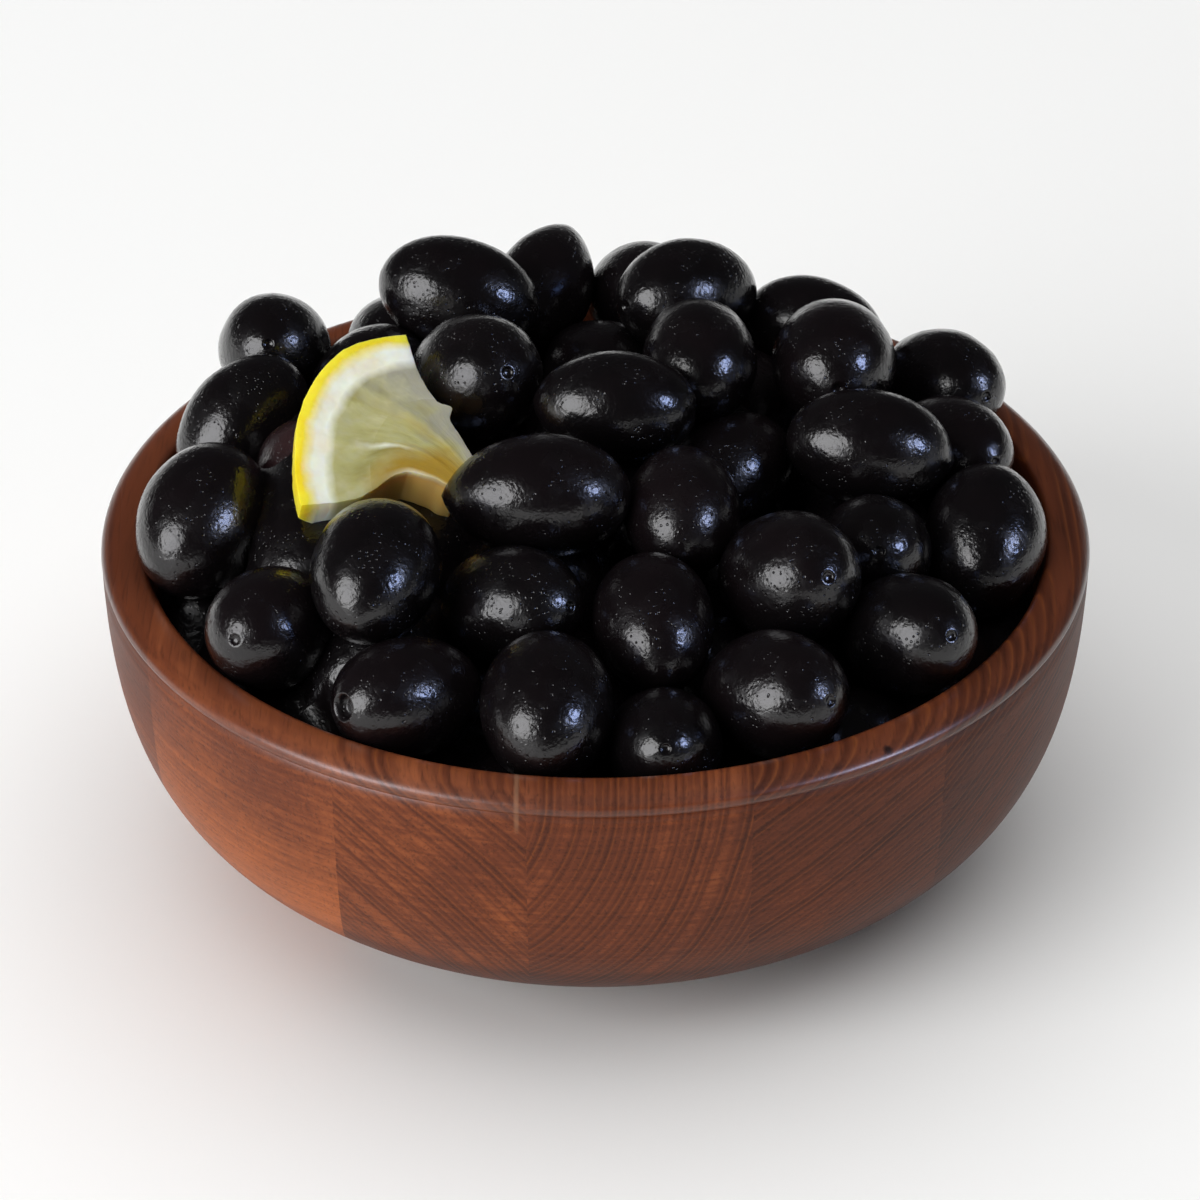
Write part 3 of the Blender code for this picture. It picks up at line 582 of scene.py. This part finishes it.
class OliveLook(bpy.types.PropertyGroup):
    segments: IntProperty(name="Segments", description="Round a shown olive", default=48, min=12)
    rings: IntProperty(name="Rings", description="Along a shown olive", default=24, min=8)
    deep_segments: IntProperty(name="Deep segments", description="Round a deeper olive", default=36, min=12)
    deep_rings: IntProperty(name="Deep rings", description="Along a deeper olive", default=20, min=8)
    core_depth: length_of("Core depth", "Top of the core below the olives' middles", 7.5 * MM)
    black: colour_of("Black", "Most of the skin", "#0A0809")
    purple: colour_of("Purple black", "Thinner skin", "#120C0E")
    brown: colour_of("Brown", "The thinnest skin", "#2E1E1F")


class LemonLook(bpy.types.PropertyGroup):
    rows: IntProperty(name="Rows", description="From core to rind", default=90, min=8)
    columns: IntProperty(name="Columns", description="From edge to edge", default=120, min=8)
    edge_rounding: length_of("Edge", "Rounding of the edges", 0.5 * MM)
    roughness: length_of("Unevenness", "How far the cut edges and flesh stray", 0.10 * MM)
    zest: colour_of("Zest", "Outer peel", "#E8D83C")
    zest_deep: colour_of("Deep zest", "Outer peel, in patches", "#E2C61E")
    pith: colour_of("Pith", "White of the peel", "#E9EEE4")
    pith_warm: colour_of("Warm pith", "White of the peel, in patches", "#E4DECA")
    pulp: colour_of("Flesh", "Most of the flesh", "#B3B07C")
    pulp_pale: colour_of("Pale flesh", "Light streaks", "#BAB998")
    pulp_deep: colour_of("Deep flesh", "Dark streaks", "#9B9459")
    pulp_grey: colour_of("Grey flesh", "Along the back edge", "#A09E90")
    # Painted shade: the amber of the flesh where it lies in shade at the core end
    shaded_amber: colour_of("Amber", "Flesh at the core end", "#A38634")
    amber_pale: colour_of("Pale amber", "Streak beside the grey flesh", "#B0A050")
    # Painted glow of light through the flesh, on the cut side in shade
    side: colour_of("Cut side", "Below the lower cut edge", "#CCA65A")


class StageLook(bpy.types.PropertyGroup):
    floor_size: length_of("Floor", "Side of the floor", 8.0)
    floor: colour_of("Floor colour", "Of the pale floor", "#F8F8F7")
    elevation: FloatProperty(
        name="Elevation", description="Of the camera", default=math.radians(33),
        subtype="ANGLE", unit="ROTATION")
    distance: length_of("Distance", "From the camera to the bowl", 0.6)
    aim_height: length_of("Aim height", "Of the point looked at", 40.5 * MM)
    aim_across: length_of("Aim across", "Of the point looked at", 0.73 * MM)
    lens: FloatProperty(name="Lens", description="Focal length in mm", default=109.0, min=20)


def make_bowl(look):
    groove = [
        (look.radius - 0.12 * MM, look.groove_height + 0.45 * MM),
        (look.radius - look.groove_depth, look.groove_height),
    ]
    outside = bezier(OUTSIDE_TOP, *OUTSIDE_HANDLES, (look.foot_radius, 0.0), PROFILE_STEPS)
    top = [(min(r, look.radius), min(h, look.height)) for r, h in smooth_through(rim(look), RIM_STEPS)]
    profile = inner_wall(PROFILE_STEPS) + top + groove + outside + [(look.foot_radius / 2, 0.0), (0.0, 0.0)]
    bowl = spin_profile("wooden_bowl", profile, look.steps)
    bowl.data.materials.append(oiled_wood(look))
    select_only(bowl)
    bpy.ops.object.shade_smooth_by_angle(angle=math.radians(35))
    place_piece(bowl, "turned_wood", "bowl")


def heap_height(across, back):
    return CREST_HEIGHT - HEAP_FALL * ((across - CREST_ACROSS) ** 2 + (back - CREST_BACK) ** 2)


def olive_axis(heading, tilt):
    heading, tilt = math.radians(heading), math.radians(tilt)
    level = math.cos(tilt)
    return np.array([math.cos(heading) * level, math.sin(heading) * level, math.sin(tilt)])


def balls_in(olive):
    """Places along the olive's length, and radii, of five balls that fill it."""
    half_length, half_width = olive.half_length * MM, olive.half_width * MM
    reach = (half_length ** 2 - half_width ** 2) / half_length
    offsets = np.linspace(-reach, reach, 5)
    radii = half_width * np.sqrt(1 - offsets ** 2 / (half_length ** 2 - half_width ** 2))
    return offsets, radii


def olive_balls(olive, middle):
    offsets, radii = balls_in(olive)
    return middle + offsets[:, None] * olive_axis(olive.heading, olive.tilt), radii


def bowl_wall(size):
    """Points up the inside of the bowl and over its rim, close enough to stand for the wall."""
    corners = np.array(inner_wall(INNER_STEPS)[2:] + rim(size))
    shares = np.arange(0, len(corners) - 1, 0.1)
    indices = np.arange(len(corners))
    return np.stack([np.interp(shares, indices, corners[:, axis]) for axis in (0, 1)], axis=1)


def wall_distance(balls, wall):
    """From each ball's middle to the nearest point of the wall: the distance, and the way from there."""
    out = np.hypot(balls[:, 0], balls[:, 1]) + 1e-9
    away = np.stack([out, balls[:, 2]], axis=1)[:, None] - wall[None]
    distance = np.linalg.norm(away, axis=2)
    rows, nearest = np.arange(len(balls)), distance.argmin(axis=1)
    distance = distance[rows, nearest]
    level, rise = (away[rows, nearest] / distance[:, None]).T
    return distance, np.stack([level * balls[:, 0] / out, level * balls[:, 1] / out, rise], axis=1)


def has_room(balls, radii, taken, wall):
    """True if balls cross no others by more than olives press into each other, and clear the wall."""
    if (wall_distance(balls, wall)[0] - radii).min() < WALL_MARGIN:
        return False
    others = np.concatenate([middles for middles, _ in taken])
    other_radii = np.concatenate([sizes for _, sizes in taken])
    distance = np.linalg.norm(balls[:, None] - others[None], axis=2)
    return (distance - radii[:, None] - other_radii[None]).min() > -LOT_PRESS


def lemon_balls():
    """Middles and radii of the balls that fill the lemon, which the olives are kept off."""
    place = lemon_frame()
    middles, radii = [], []
    for share in LEMON_BALL_ROWS:
        for turn_share in np.linspace(0.08, 0.92, 2 + round(7 * share)):
            point = lemon_point(share, turn_share)
            point.z = -lemon_depth(share) / 2
            middles.append(place @ point)
            radii.append(lemon_depth(share) / 2)
    return np.array(middles), np.array(radii)


def push_apart(balls, radii, owner, looseness, count):
    """The move of each olive away from every other that it crosses, by their deepest contact."""
    apart = balls[:, None] - balls[None]
    distance = np.linalg.norm(apart, axis=2) + 1e-9
    crossing = radii[:, None] + radii[None] - SQUASH - distance
    crossing[owner[:, None] == owner[None]] = 0
    crossing = np.maximum(crossing, 0)
    share = looseness[owner][:, None] / (looseness[owner][:, None] + looseness[owner][None])
    push = apart / distance[..., None] * (crossing * share)[..., None]
    each = len(balls) // count
    by_pair = crossing.reshape(count, each, count, each).transpose(0, 2, 1, 3).reshape(count, count, -1)
    pushes = push.reshape(count, each, count, each, 3).transpose(0, 2, 1, 3, 4).reshape(count, count, -1, 3)
    deepest = by_pair.argmax(axis=2)[..., None, None]
    return np.take_along_axis(pushes, deepest, axis=2)[:, :, 0].sum(axis=1)


def deepest_push(crossing, direction, count):
    """The push of each olive along the direction of its ball that crosses most."""
    crossing = np.maximum(crossing, 0).reshape(count, -1)
    moves = direction.reshape(count, -1, 3) * crossing[..., None]
    return moves[np.arange(count), crossing.argmax(axis=1)]


def push_off_wall(balls, radii, wall, count):
    distance, direction = wall_distance(balls, wall)
    return deepest_push(radii + WALL_MARGIN - distance, direction, count)


def push_off_lemon(balls, radii, lemon, count):
    middles, sizes = lemon
    away = balls[:, None] - middles[None]
    distance = np.linalg.norm(away, axis=2)
    nearest = (distance - sizes[None]).argmin(axis=1)
    rows = np.arange(len(balls))
    crossing = radii + sizes[nearest] - distance[rows, nearest]
    direction = away[rows, nearest] / distance[rows, nearest][:, None]
    return deepest_push(crossing, direction, count)


def settle(olives, wall):
    """The olives' middles once none crosses another, the bowl or the lemon."""
    count = len(olives)
    middles = np.array([[olive.across, olive.back, olive.up] for olive in olives]) * MM
    axes = np.array([olive_axis(olive.heading, olive.tilt) for olive in olives])
    rows = [balls_in(olive) for olive in olives]
    offsets = np.array([row[0] for row in rows])
    radii = np.array([row[1] for row in rows]).ravel()
    owner = np.repeat(np.arange(count), offsets.shape[1])
    shown = len(SHOWN_OLIVES)
    looseness = np.array([LOOSENESS_SHOWN] * shown + [LOOSENESS_HIDDEN] * (count - shown))
    lemon = lemon_balls()
    for _ in range(SETTLE_ROUNDS):
        balls = (middles[:, None] + offsets[..., None] * axes[:, None]).reshape(-1, 3)
        middles = middles + SETTLE_SHARE * push_apart(balls, radii, owner, looseness, count)
        middles = middles + push_off_wall(balls, radii, wall, count)
        middles = middles + SETTLE_SHARE * push_off_lemon(balls, radii, lemon, count)
    return middles


def fill_gaps(olives, middles, wall):
    """Olives drawn by lot, each let down from the dome until it fits between those already there."""
    lot = random.Random(LOT_SEED)
    taken = [olive_balls(olive, middle) for olive, middle in zip(olives, middles)]
    taken.append(lemon_balls())
    olives, middles = list(olives), list(middles)
    for limit, tries in LOT_ROUNDS:
        for _ in range(tries):
            angle, radius = lot.uniform(0, math.tau), LOT_RADIUS * math.sqrt(lot.random())
            size, heading, tilt = lot.uniform(*LOT_SIZES), lot.uniform(0, 180), lot.uniform(-15, 25)
            across, back = radius * math.cos(angle), radius * math.sin(angle)
            edge = LOT_EDGE_HEIGHT + LOT_EDGE_SLOPE * (LOT_RADIUS - radius)
            top = min(heap_height(across, back) - LOT_DEPTH, edge)
            olive = Olive(0, 0, 0, USUAL_HALF_LENGTH * size, USUAL_HALF_WIDTH * size, heading, tilt)
            for step in range(int(limit / LOT_STEP) + 1):
                middle = np.array([across, back, top - step * LOT_STEP])
                if has_room(*olive_balls(olive, middle), taken, wall):
                    taken.append(olive_balls(olive, middle))
                    olives.append(olive)
                    middles.append(middle)
                    break
    return olives, middles


def make_core(middles, look, material):
    """The dark mass under the olives, with a round hump below each of them."""
    # Its side follows the bowl and stops short of the rim
    wall = [(radius - GAP, height + GAP) for radius, height in inner_wall(PROFILE_STEPS)[1:-4]]
    top_radius, top_height = wall[-1]
    top = [(top_radius * ring / CORE_RINGS, top_height) for ring in range(CORE_RINGS)]
    profile = top + wall[::-1] + [(0.0, FLOOR_HEIGHT + GAP)]
    core = spin_profile("heap_core", profile, CORE_STEPS)
    lemon, sizes = lemon_balls()
    lemon[:, 2] -= sizes + GAP
    supports = np.concatenate([np.array(middles) - [0, 0, look.core_depth], lemon])
    for vertex in core.data.vertices:
        if vertex.co.z > top_height - MERGE:
            out = math.hypot(vertex.co.x, vertex.co.y)
            edge = CORE_EDGE_HEIGHT + CORE_EDGE_SLOPE * (INSIDE_TOP[0] - out)
            distance = np.hypot(supports[:, 0] - vertex.co.x, supports[:, 1] - vertex.co.y)
            near = distance < CORE_HUMP_RADIUS
            drop = CORE_HUMP_RADIUS - np.sqrt(CORE_HUMP_RADIUS ** 2 - distance[near] ** 2)
            hump = float((supports[near, 2] - drop).max()) if near.any() else 0.0
            vertex.co.z = max(min(hump, edge), top_height)
    core.data.materials.append(material)
    select_only(core)
    bpy.ops.object.shade_smooth()
    place_piece(core, "olive_skin")


def olive_kind(name, segments, rings, scar_reach, scar_depth):
    """One olive, a unit from its middle to its skin: a stem scar at its head, +Z, and a nib at its tail."""
    deselect_all()
    bpy.ops.mesh.primitive_uv_sphere_add(segments=segments, ring_count=rings, radius=1.0)
    kind = bpy.context.object
    kind.name = name
    bpy.ops.object.mode_set(mode="EDIT")
    bpy.ops.mesh.select_mode(type="FACE")
    bpy.ops.mesh.select_all(action="DESELECT")
    bpy.ops.object.mode_set(mode="OBJECT")
    for polygon in kind.data.polygons:
        polygon.select = polygon.center.z > math.cos(scar_reach)
    bpy.ops.object.mode_set(mode="EDIT")
    bpy.ops.mesh.inset(thickness=SCAR_LIP, depth=SCAR_LIP_RISE)
    bpy.ops.mesh.inset(thickness=SCAR_WALL, depth=-scar_depth / 2)
    bpy.ops.mesh.inset(thickness=SCAR_FLOOR, depth=-scar_depth / 2)
    bpy.ops.mesh.select_mode(type="VERT")
    bpy.ops.mesh.select_all(action="DESELECT")
    bpy.ops.object.mode_set(mode="OBJECT")
    for vertex in kind.data.vertices:
        vertex.select = vertex.co.z < -1 + MERGE
    bpy.ops.object.mode_set(mode="EDIT")
    bpy.ops.transform.translate(value=(0, 0, -NIB_LENGTH), use_proportional_edit=True,
                                proportional_edit_falloff="SHARP", proportional_size=NIB_REACH)
    bpy.ops.object.mode_set(mode="OBJECT")
    bpy.ops.object.shade_smooth()
    return kind


def shape_olive(mesh, olive, lot):
    """Make one copy uneven as a real olive is: fuller at one end, softly lumped, pointed if it should be."""
    taper = lot.uniform(-OLIVE_TAPER, OLIVE_TAPER)
    lumps = lot.uniform(*OLIVE_LUMPS)
    offset = Vector((lot.uniform(-50, 50), lot.uniform(-50, 50), lot.uniform(-50, 50)))
    point = olive.point / olive.half_length
    for vertex in mesh.vertices:
        x, y, z = vertex.co
        broad = noise.noise(vertex.co * BROAD_LUMPS + offset)
        fine = noise.noise(vertex.co * FINE_LUMPS - offset)
        fuller = (1 + lumps * broad + FINE_LUMP_SHARE * lumps * fine) * (1 + taper * z)
        drawn_out = point * z ** 6 if point * z > 0 else 0.0
        vertex.co = Vector((x * fuller, y * fuller, z + drawn_out))


def make_olives(look, wall):
    listed = SHOWN_OLIVES + DEEPER_OLIVES
    olives, middles = fill_gaps(listed, settle(listed, wall), wall)
    skin = olive_skin(look)
    fine, coarse = (look.segments, look.rings), (look.deep_segments, look.deep_rings)
    plain = olive_kind("plain_olive", *fine, scar_reach=0.14, scar_depth=0.03)
    scarred = olive_kind("scarred_olive", *fine, scar_reach=0.27, scar_depth=0.16)
    deeper = olive_kind("deeper_olive", *coarse, scar_reach=0.16, scar_depth=0.03)
    lot = random.Random(SHAPE_SEED)
    copies = []
    for index, (olive, middle) in enumerate(zip(olives, middles)):
        kind = scarred if index in DEEP_SCARS else plain if index < len(SHOWN_OLIVES) else deeper
        mesh = kind.data.copy()
        shape_olive(mesh, olive, lot)
        size = Matrix.Diagonal((olive.half_width * MM, olive.half_width * MM, olive.half_length * MM, 1.0))
        axis = Vector(olive_axis(olive.heading, olive.tilt))
        turn = axis.to_track_quat("Z", "Y").to_matrix().to_4x4()
        roll = Matrix.Rotation(lot.uniform(0, math.tau), 4, "Z")
        mesh.transform(Matrix.Translation(Vector(middle)) @ turn @ roll @ size)
        tone = mesh.attributes.new("tone", "FLOAT", "POINT")
        brown = BROWN_TONE if index in BROWN_OLIVES else lot.uniform(0.0, 0.5) ** 2
        tone.data.foreach_set("value", [brown] * len(mesh.vertices))
        copy = bpy.data.objects.new("olive", mesh)
        bpy.context.collection.objects.link(copy)
        copies.append(copy)
    for kind in (plain, scarred, deeper):
        bpy.data.objects.remove(kind, do_unlink=True)
    deselect_all()
    for copy in copies:
        copy.select_set(True)
    bpy.context.view_layer.objects.active = copies[0]
    bpy.ops.object.join()
    heap = bpy.context.object
    heap.name = heap.data.name = "olives"
    heap.data.materials.clear()
    heap.data.materials.append(skin)
    place_piece(heap, "olive_skin", "olive_heap")
    make_core(middles, look, skin)


def lemon_frame():
    """The lemon's own axes: towards the rind, across the slice, and out of its cut face."""
    face = LEMON_FACE.normalized()
    outward = (LEMON_TOWARDS_RIND - face * LEMON_TOWARDS_RIND.dot(face)).normalized()
    place = Matrix((outward, face.cross(outward), face)).transposed().to_4x4()
    place.translation = LEMON_TIP
    return place


def lemon_depth(share):
    """How thick the piece is at a share of the way to the rind, which curves in under it."""
    return LEMON_THICKNESS * math.sqrt(1 - (LEMON_UNDERCUT * share) ** 2)


def edge_point(edge, share):
    """Radius and angle at a share of the way along one of the lemon's cut edges."""
    radii = [radius for radius, _ in edge]
    angles = [angle for _, angle in edge]
    radius = radii[0] + share * (radii[-1] - radii[0])
    return radius * MM, math.radians(float(np.interp(radius, radii, angles)))


def flat_point(radius, angle):
    return Vector((radius * math.cos(angle), radius * math.sin(angle), 0))


def lemon_point(share, turn_share):
    """A point of the cut face, by its shares of the way to the rind and from back edge to low edge."""
    back_radius, back_angle = edge_point(BACK_EDGE, share)
    low_radius, low_angle = edge_point(LOW_EDGE, share)
    bulge = float(np.interp(turn_share, *zip(*RIND_BULGE))) * MM
    radius = back_radius + turn_share * (low_radius - back_radius) + share * bulge
    angle = back_angle + turn_share * (low_angle - back_angle)
    straight = flat_point(back_radius, back_angle).lerp(flat_point(low_radius, low_angle), turn_share)
    point = straight.lerp(flat_point(radius, angle), min(1.0, share / LEMON_ROUND_FROM))
    membrane = max(math.exp(-((turn_share - place) / MEMBRANE_WIDTH) ** 2) for place in MEMBRANE_PLACES)
    on_pith = min(1.0, max(0.0, (share - PITH_START) / PITH_BLEND + 0.5))
    flesh = MEMBRANE_HEIGHT * membrane * min(1.0, share / MEMBRANE_FULL_FROM)
    point.z = flesh + (PITH_HEIGHT - flesh) * on_pith
    return point


def uneven_point(share, turn_share, stray):
    """The same point as a knife leaves it: softly uneven, with a shred torn out of the back edge."""
    reach = min(KNIFE_SMOOTHING, share, 1 - share)
    shares = [share + reach * step / 3 for step in range(-3, 4)]
    point = sum((lemon_point(near, turn_share) for near in shares), Vector()) / len(shares)
    broad, fine = noise.noise_vector(point / KNIFE_MARKS), noise.noise_vector(point / FINE_KNIFE_MARKS)
    point += stray * (broad + 0.5 * fine)
    shred = math.exp(-((share - TORN_SHARE) / TORN_WIDTH) ** 2) * math.exp(-turn_share / TORN_WIDTH)
    return point + TORN_REACH * shred * flat_point(1.0, math.radians(TORN_HEADING))


def make_lemon(look):
    """A grid laid out from core to rind, given thickness and rounded edges."""
    deselect_all()
    bpy.ops.mesh.primitive_grid_add(
        x_subdivisions=look.rows, y_subdivisions=look.columns, size=1.0, calc_uvs=True)
    lemon = bpy.context.object
    lemon.name = lemon.data.name = "lemon_piece"
    place = lemon_frame()
    thick = lemon.vertex_groups.new(name="thick")
    # Without a seed the knife's marks would come out differently each run
    noise.seed_set(KNIFE_SEED)
    # It is flat until it has its thickness, so that its sides are straight, and then its face gets relief
    relief = []
    for vertex in lemon.data.vertices:
        share, turn_share = vertex.co.x + 0.5, vertex.co.y + 0.5
        thick.add([vertex.index], lemon_depth(share) / LEMON_THICKNESS, "REPLACE")
        vertex.co = uneven_point(share, turn_share, look.roughness)
        relief.append(vertex.co.z)
        vertex.co.z = 0.0
    body = lemon.modifiers.new("Thickness", "SOLIDIFY")
    body.thickness = LEMON_THICKNESS
    body.offset = -1.0
    body.vertex_group = thick.name
    bpy.ops.object.modifier_apply(modifier=body.name)
    for vertex, rise in zip(lemon.data.vertices, relief):
        vertex.co.z += rise
    rounding = lemon.modifiers.new("Rounding", "BEVEL")
    rounding.width = look.edge_rounding
    rounding.segments = 3
    rounding.limit_method = "ANGLE"
    rounding.angle_limit = math.radians(50)
    bpy.ops.object.modifier_apply(modifier=rounding.name)
    bpy.ops.object.shade_smooth_by_angle(angle=math.radians(40))
    depth = lemon.data.attributes.new("depth", "FLOAT", "POINT")
    depth.data.foreach_set("value", [max(0.0, -v.co.z / LEMON_THICKNESS) for v in lemon.data.vertices])
    lemon.data.transform(place)
    lemon.data.materials.append(cut_lemon(look))
    place_piece(lemon, "lemon", "lemon_wedge")


def add_soft_light(name, towards, half_angle, power, colour, lit=True, seen=True):
    """A round soft light far off, as wide as the angle it fills; some only light, and some only gleam."""
    light = bpy.data.lights.new(name, "AREA")
    light.shape = "DISK"
    light.size = 2 * LIGHT_DISTANCE * math.tan(math.radians(half_angle))
    light.energy = power
    light.color = linear(colour)[:3]
    obj = bpy.data.objects.new(name, light)
    bpy.context.scene.collection.objects.link(obj)
    way = Vector(towards).normalized()
    obj.location = way * LIGHT_DISTANCE
    obj.rotation_euler = way.to_track_quat("Z", "Y").to_euler()
    obj.visible_diffuse = lit
    obj.visible_glossy = seen


def make_stage(look):
    deselect_all()
    bpy.ops.mesh.primitive_plane_add(size=look.floor_size, location=(0, 0, 0))
    floor = bpy.context.object
    floor.name = "floor"
    # Matt card takes a soft shadow and gives no gleam
    card = new_material("pale_matt_card", Base_Color=look.floor, Roughness=0.9, Specular_IOR_Level=0.2)[0]
    floor.data.materials.append(card)

    # At the left a broad key with a brighter middle gives each olive its grey gleam, and at the right a
    # small cool light with a white middle gives it its spark
    add_soft_light("key_left", KEY_WAY, 22, 84.0, "#FFFFFF")
    add_soft_light("key_left_middle", KEY_WAY, 8, 26.0, "#E4E2FF", lit=False)
    add_soft_light("cool_right", COOL_WAY, 8, 26.0, "#8FB0FF", lit=False)
    add_soft_light("cool_right_middle", COOL_WAY, 3.5, 24.0, "#FFFFFF", lit=False)
    add_soft_light("overhead", (0.0, 0.1, 1.0), 45, 126.0, "#FFFFFF", seen=False)

    world = bpy.data.worlds.new("studio")
    world.use_nodes = True
    bpy.context.scene.world = world
    tree = world.node_tree
    add = partial(add_node, tree)
    height = add("SeparateXYZ", {0: add("TexCoord", out="Generated")}, out="Z")
    stops = [(0.0, linear("#B4B4B4")), (0.12, linear("#343436")), (1.0, linear("#161618"))]
    sky = add("ValToRGB", {0: height}, stops=stops)
    tree.links.new(sky, tree.nodes["Background"].inputs["Color"])

    camera_data = bpy.data.cameras.new("camera")
    camera_data.lens = look.lens
    camera_data.sensor_width = 36.0
    camera_data.clip_start = 0.01
    camera = bpy.data.objects.new("camera", camera_data)
    bpy.context.scene.collection.objects.link(camera)
    aim = Vector((look.aim_across, 0.0, look.aim_height))
    camera.location = aim + look.distance * Vector((0, -math.cos(look.elevation), math.sin(look.elevation)))
    camera.rotation_euler = (math.pi / 2 - look.elevation, 0, 0)
    bpy.context.scene.camera = camera
    bpy.context.scene.view_settings.view_transform = "Standard"


class OLIVES_OT_turn_bowl(bpy.types.Operator):
    """Turn the wooden bowl and finish it in oil"""
    bl_idname = "olives.turn_bowl"
    bl_label = "Turn the bowl"

    def execute(self, context):
        make_bowl(context.scene.olive_bowl)
        return {"FINISHED"}


class OLIVES_OT_heap_olives(bpy.types.Operator):
    """Heap the olives in the bowl over their core"""
    bl_idname = "olives.heap_olives"
    bl_label = "Heap the olives"

    def execute(self, context):
        make_olives(context.scene.olive_heap, bowl_wall(context.scene.olive_bowl))
        return {"FINISHED"}


class OLIVES_OT_cut_lemon(bpy.types.Operator):
    """Cut the piece of lemon and lay it among the olives"""
    bl_idname = "olives.cut_lemon"
    bl_label = "Cut the lemon"

    def execute(self, context):
        make_lemon(context.scene.olive_lemon)
        return {"FINISHED"}


class OLIVES_OT_set_stage(bpy.types.Operator):
    """Set the floor, the lights and the camera"""
    bl_idname = "olives.set_stage"
    bl_label = "Set the stage"

    def execute(self, context):
        make_stage(context.scene.olive_stage)
        return {"FINISHED"}


OPERATORS = (OLIVES_OT_turn_bowl, OLIVES_OT_heap_olives, OLIVES_OT_cut_lemon, OLIVES_OT_set_stage)
LOOKS = {
    "olive_bowl": BowlLook,
    "olive_heap": OliveLook,
    "olive_lemon": LemonLook,
    "olive_stage": StageLook,
}


class OLIVES_PT_panel(bpy.types.Panel):
    """Lists the steps in the sidebar"""
    bl_idname = "OLIVES_PT_panel"
    bl_label = "Bowl of olives"
    bl_space_type = "VIEW_3D"
    bl_region_type = "UI"
    bl_category = "Olives"

    def draw(self, context):
        for name, operator in zip(LOOKS, OPERATORS):
            box = self.layout.box()
            for prop in LOOKS[name].__annotations__:
                box.prop(getattr(context.scene, name), prop)
            box.operator(operator.bl_idname)


def register():
    for cls in (*LOOKS.values(), *OPERATORS, OLIVES_PT_panel):
        bpy.utils.register_class(cls)
    for name, cls in LOOKS.items():
        setattr(bpy.types.Scene, name, PointerProperty(type=cls))


def unregister():
    for name in LOOKS:
        delattr(bpy.types.Scene, name)
    for cls in (OLIVES_PT_panel, *OPERATORS, *LOOKS.values()):
        bpy.utils.unregister_class(cls)


def main():
    register()
    bpy.ops.olives.set_stage()
    bpy.ops.olives.turn_bowl()
    bpy.ops.olives.heap_olives()
    bpy.ops.olives.cut_lemon()


if __name__ == "__main__":
    main()
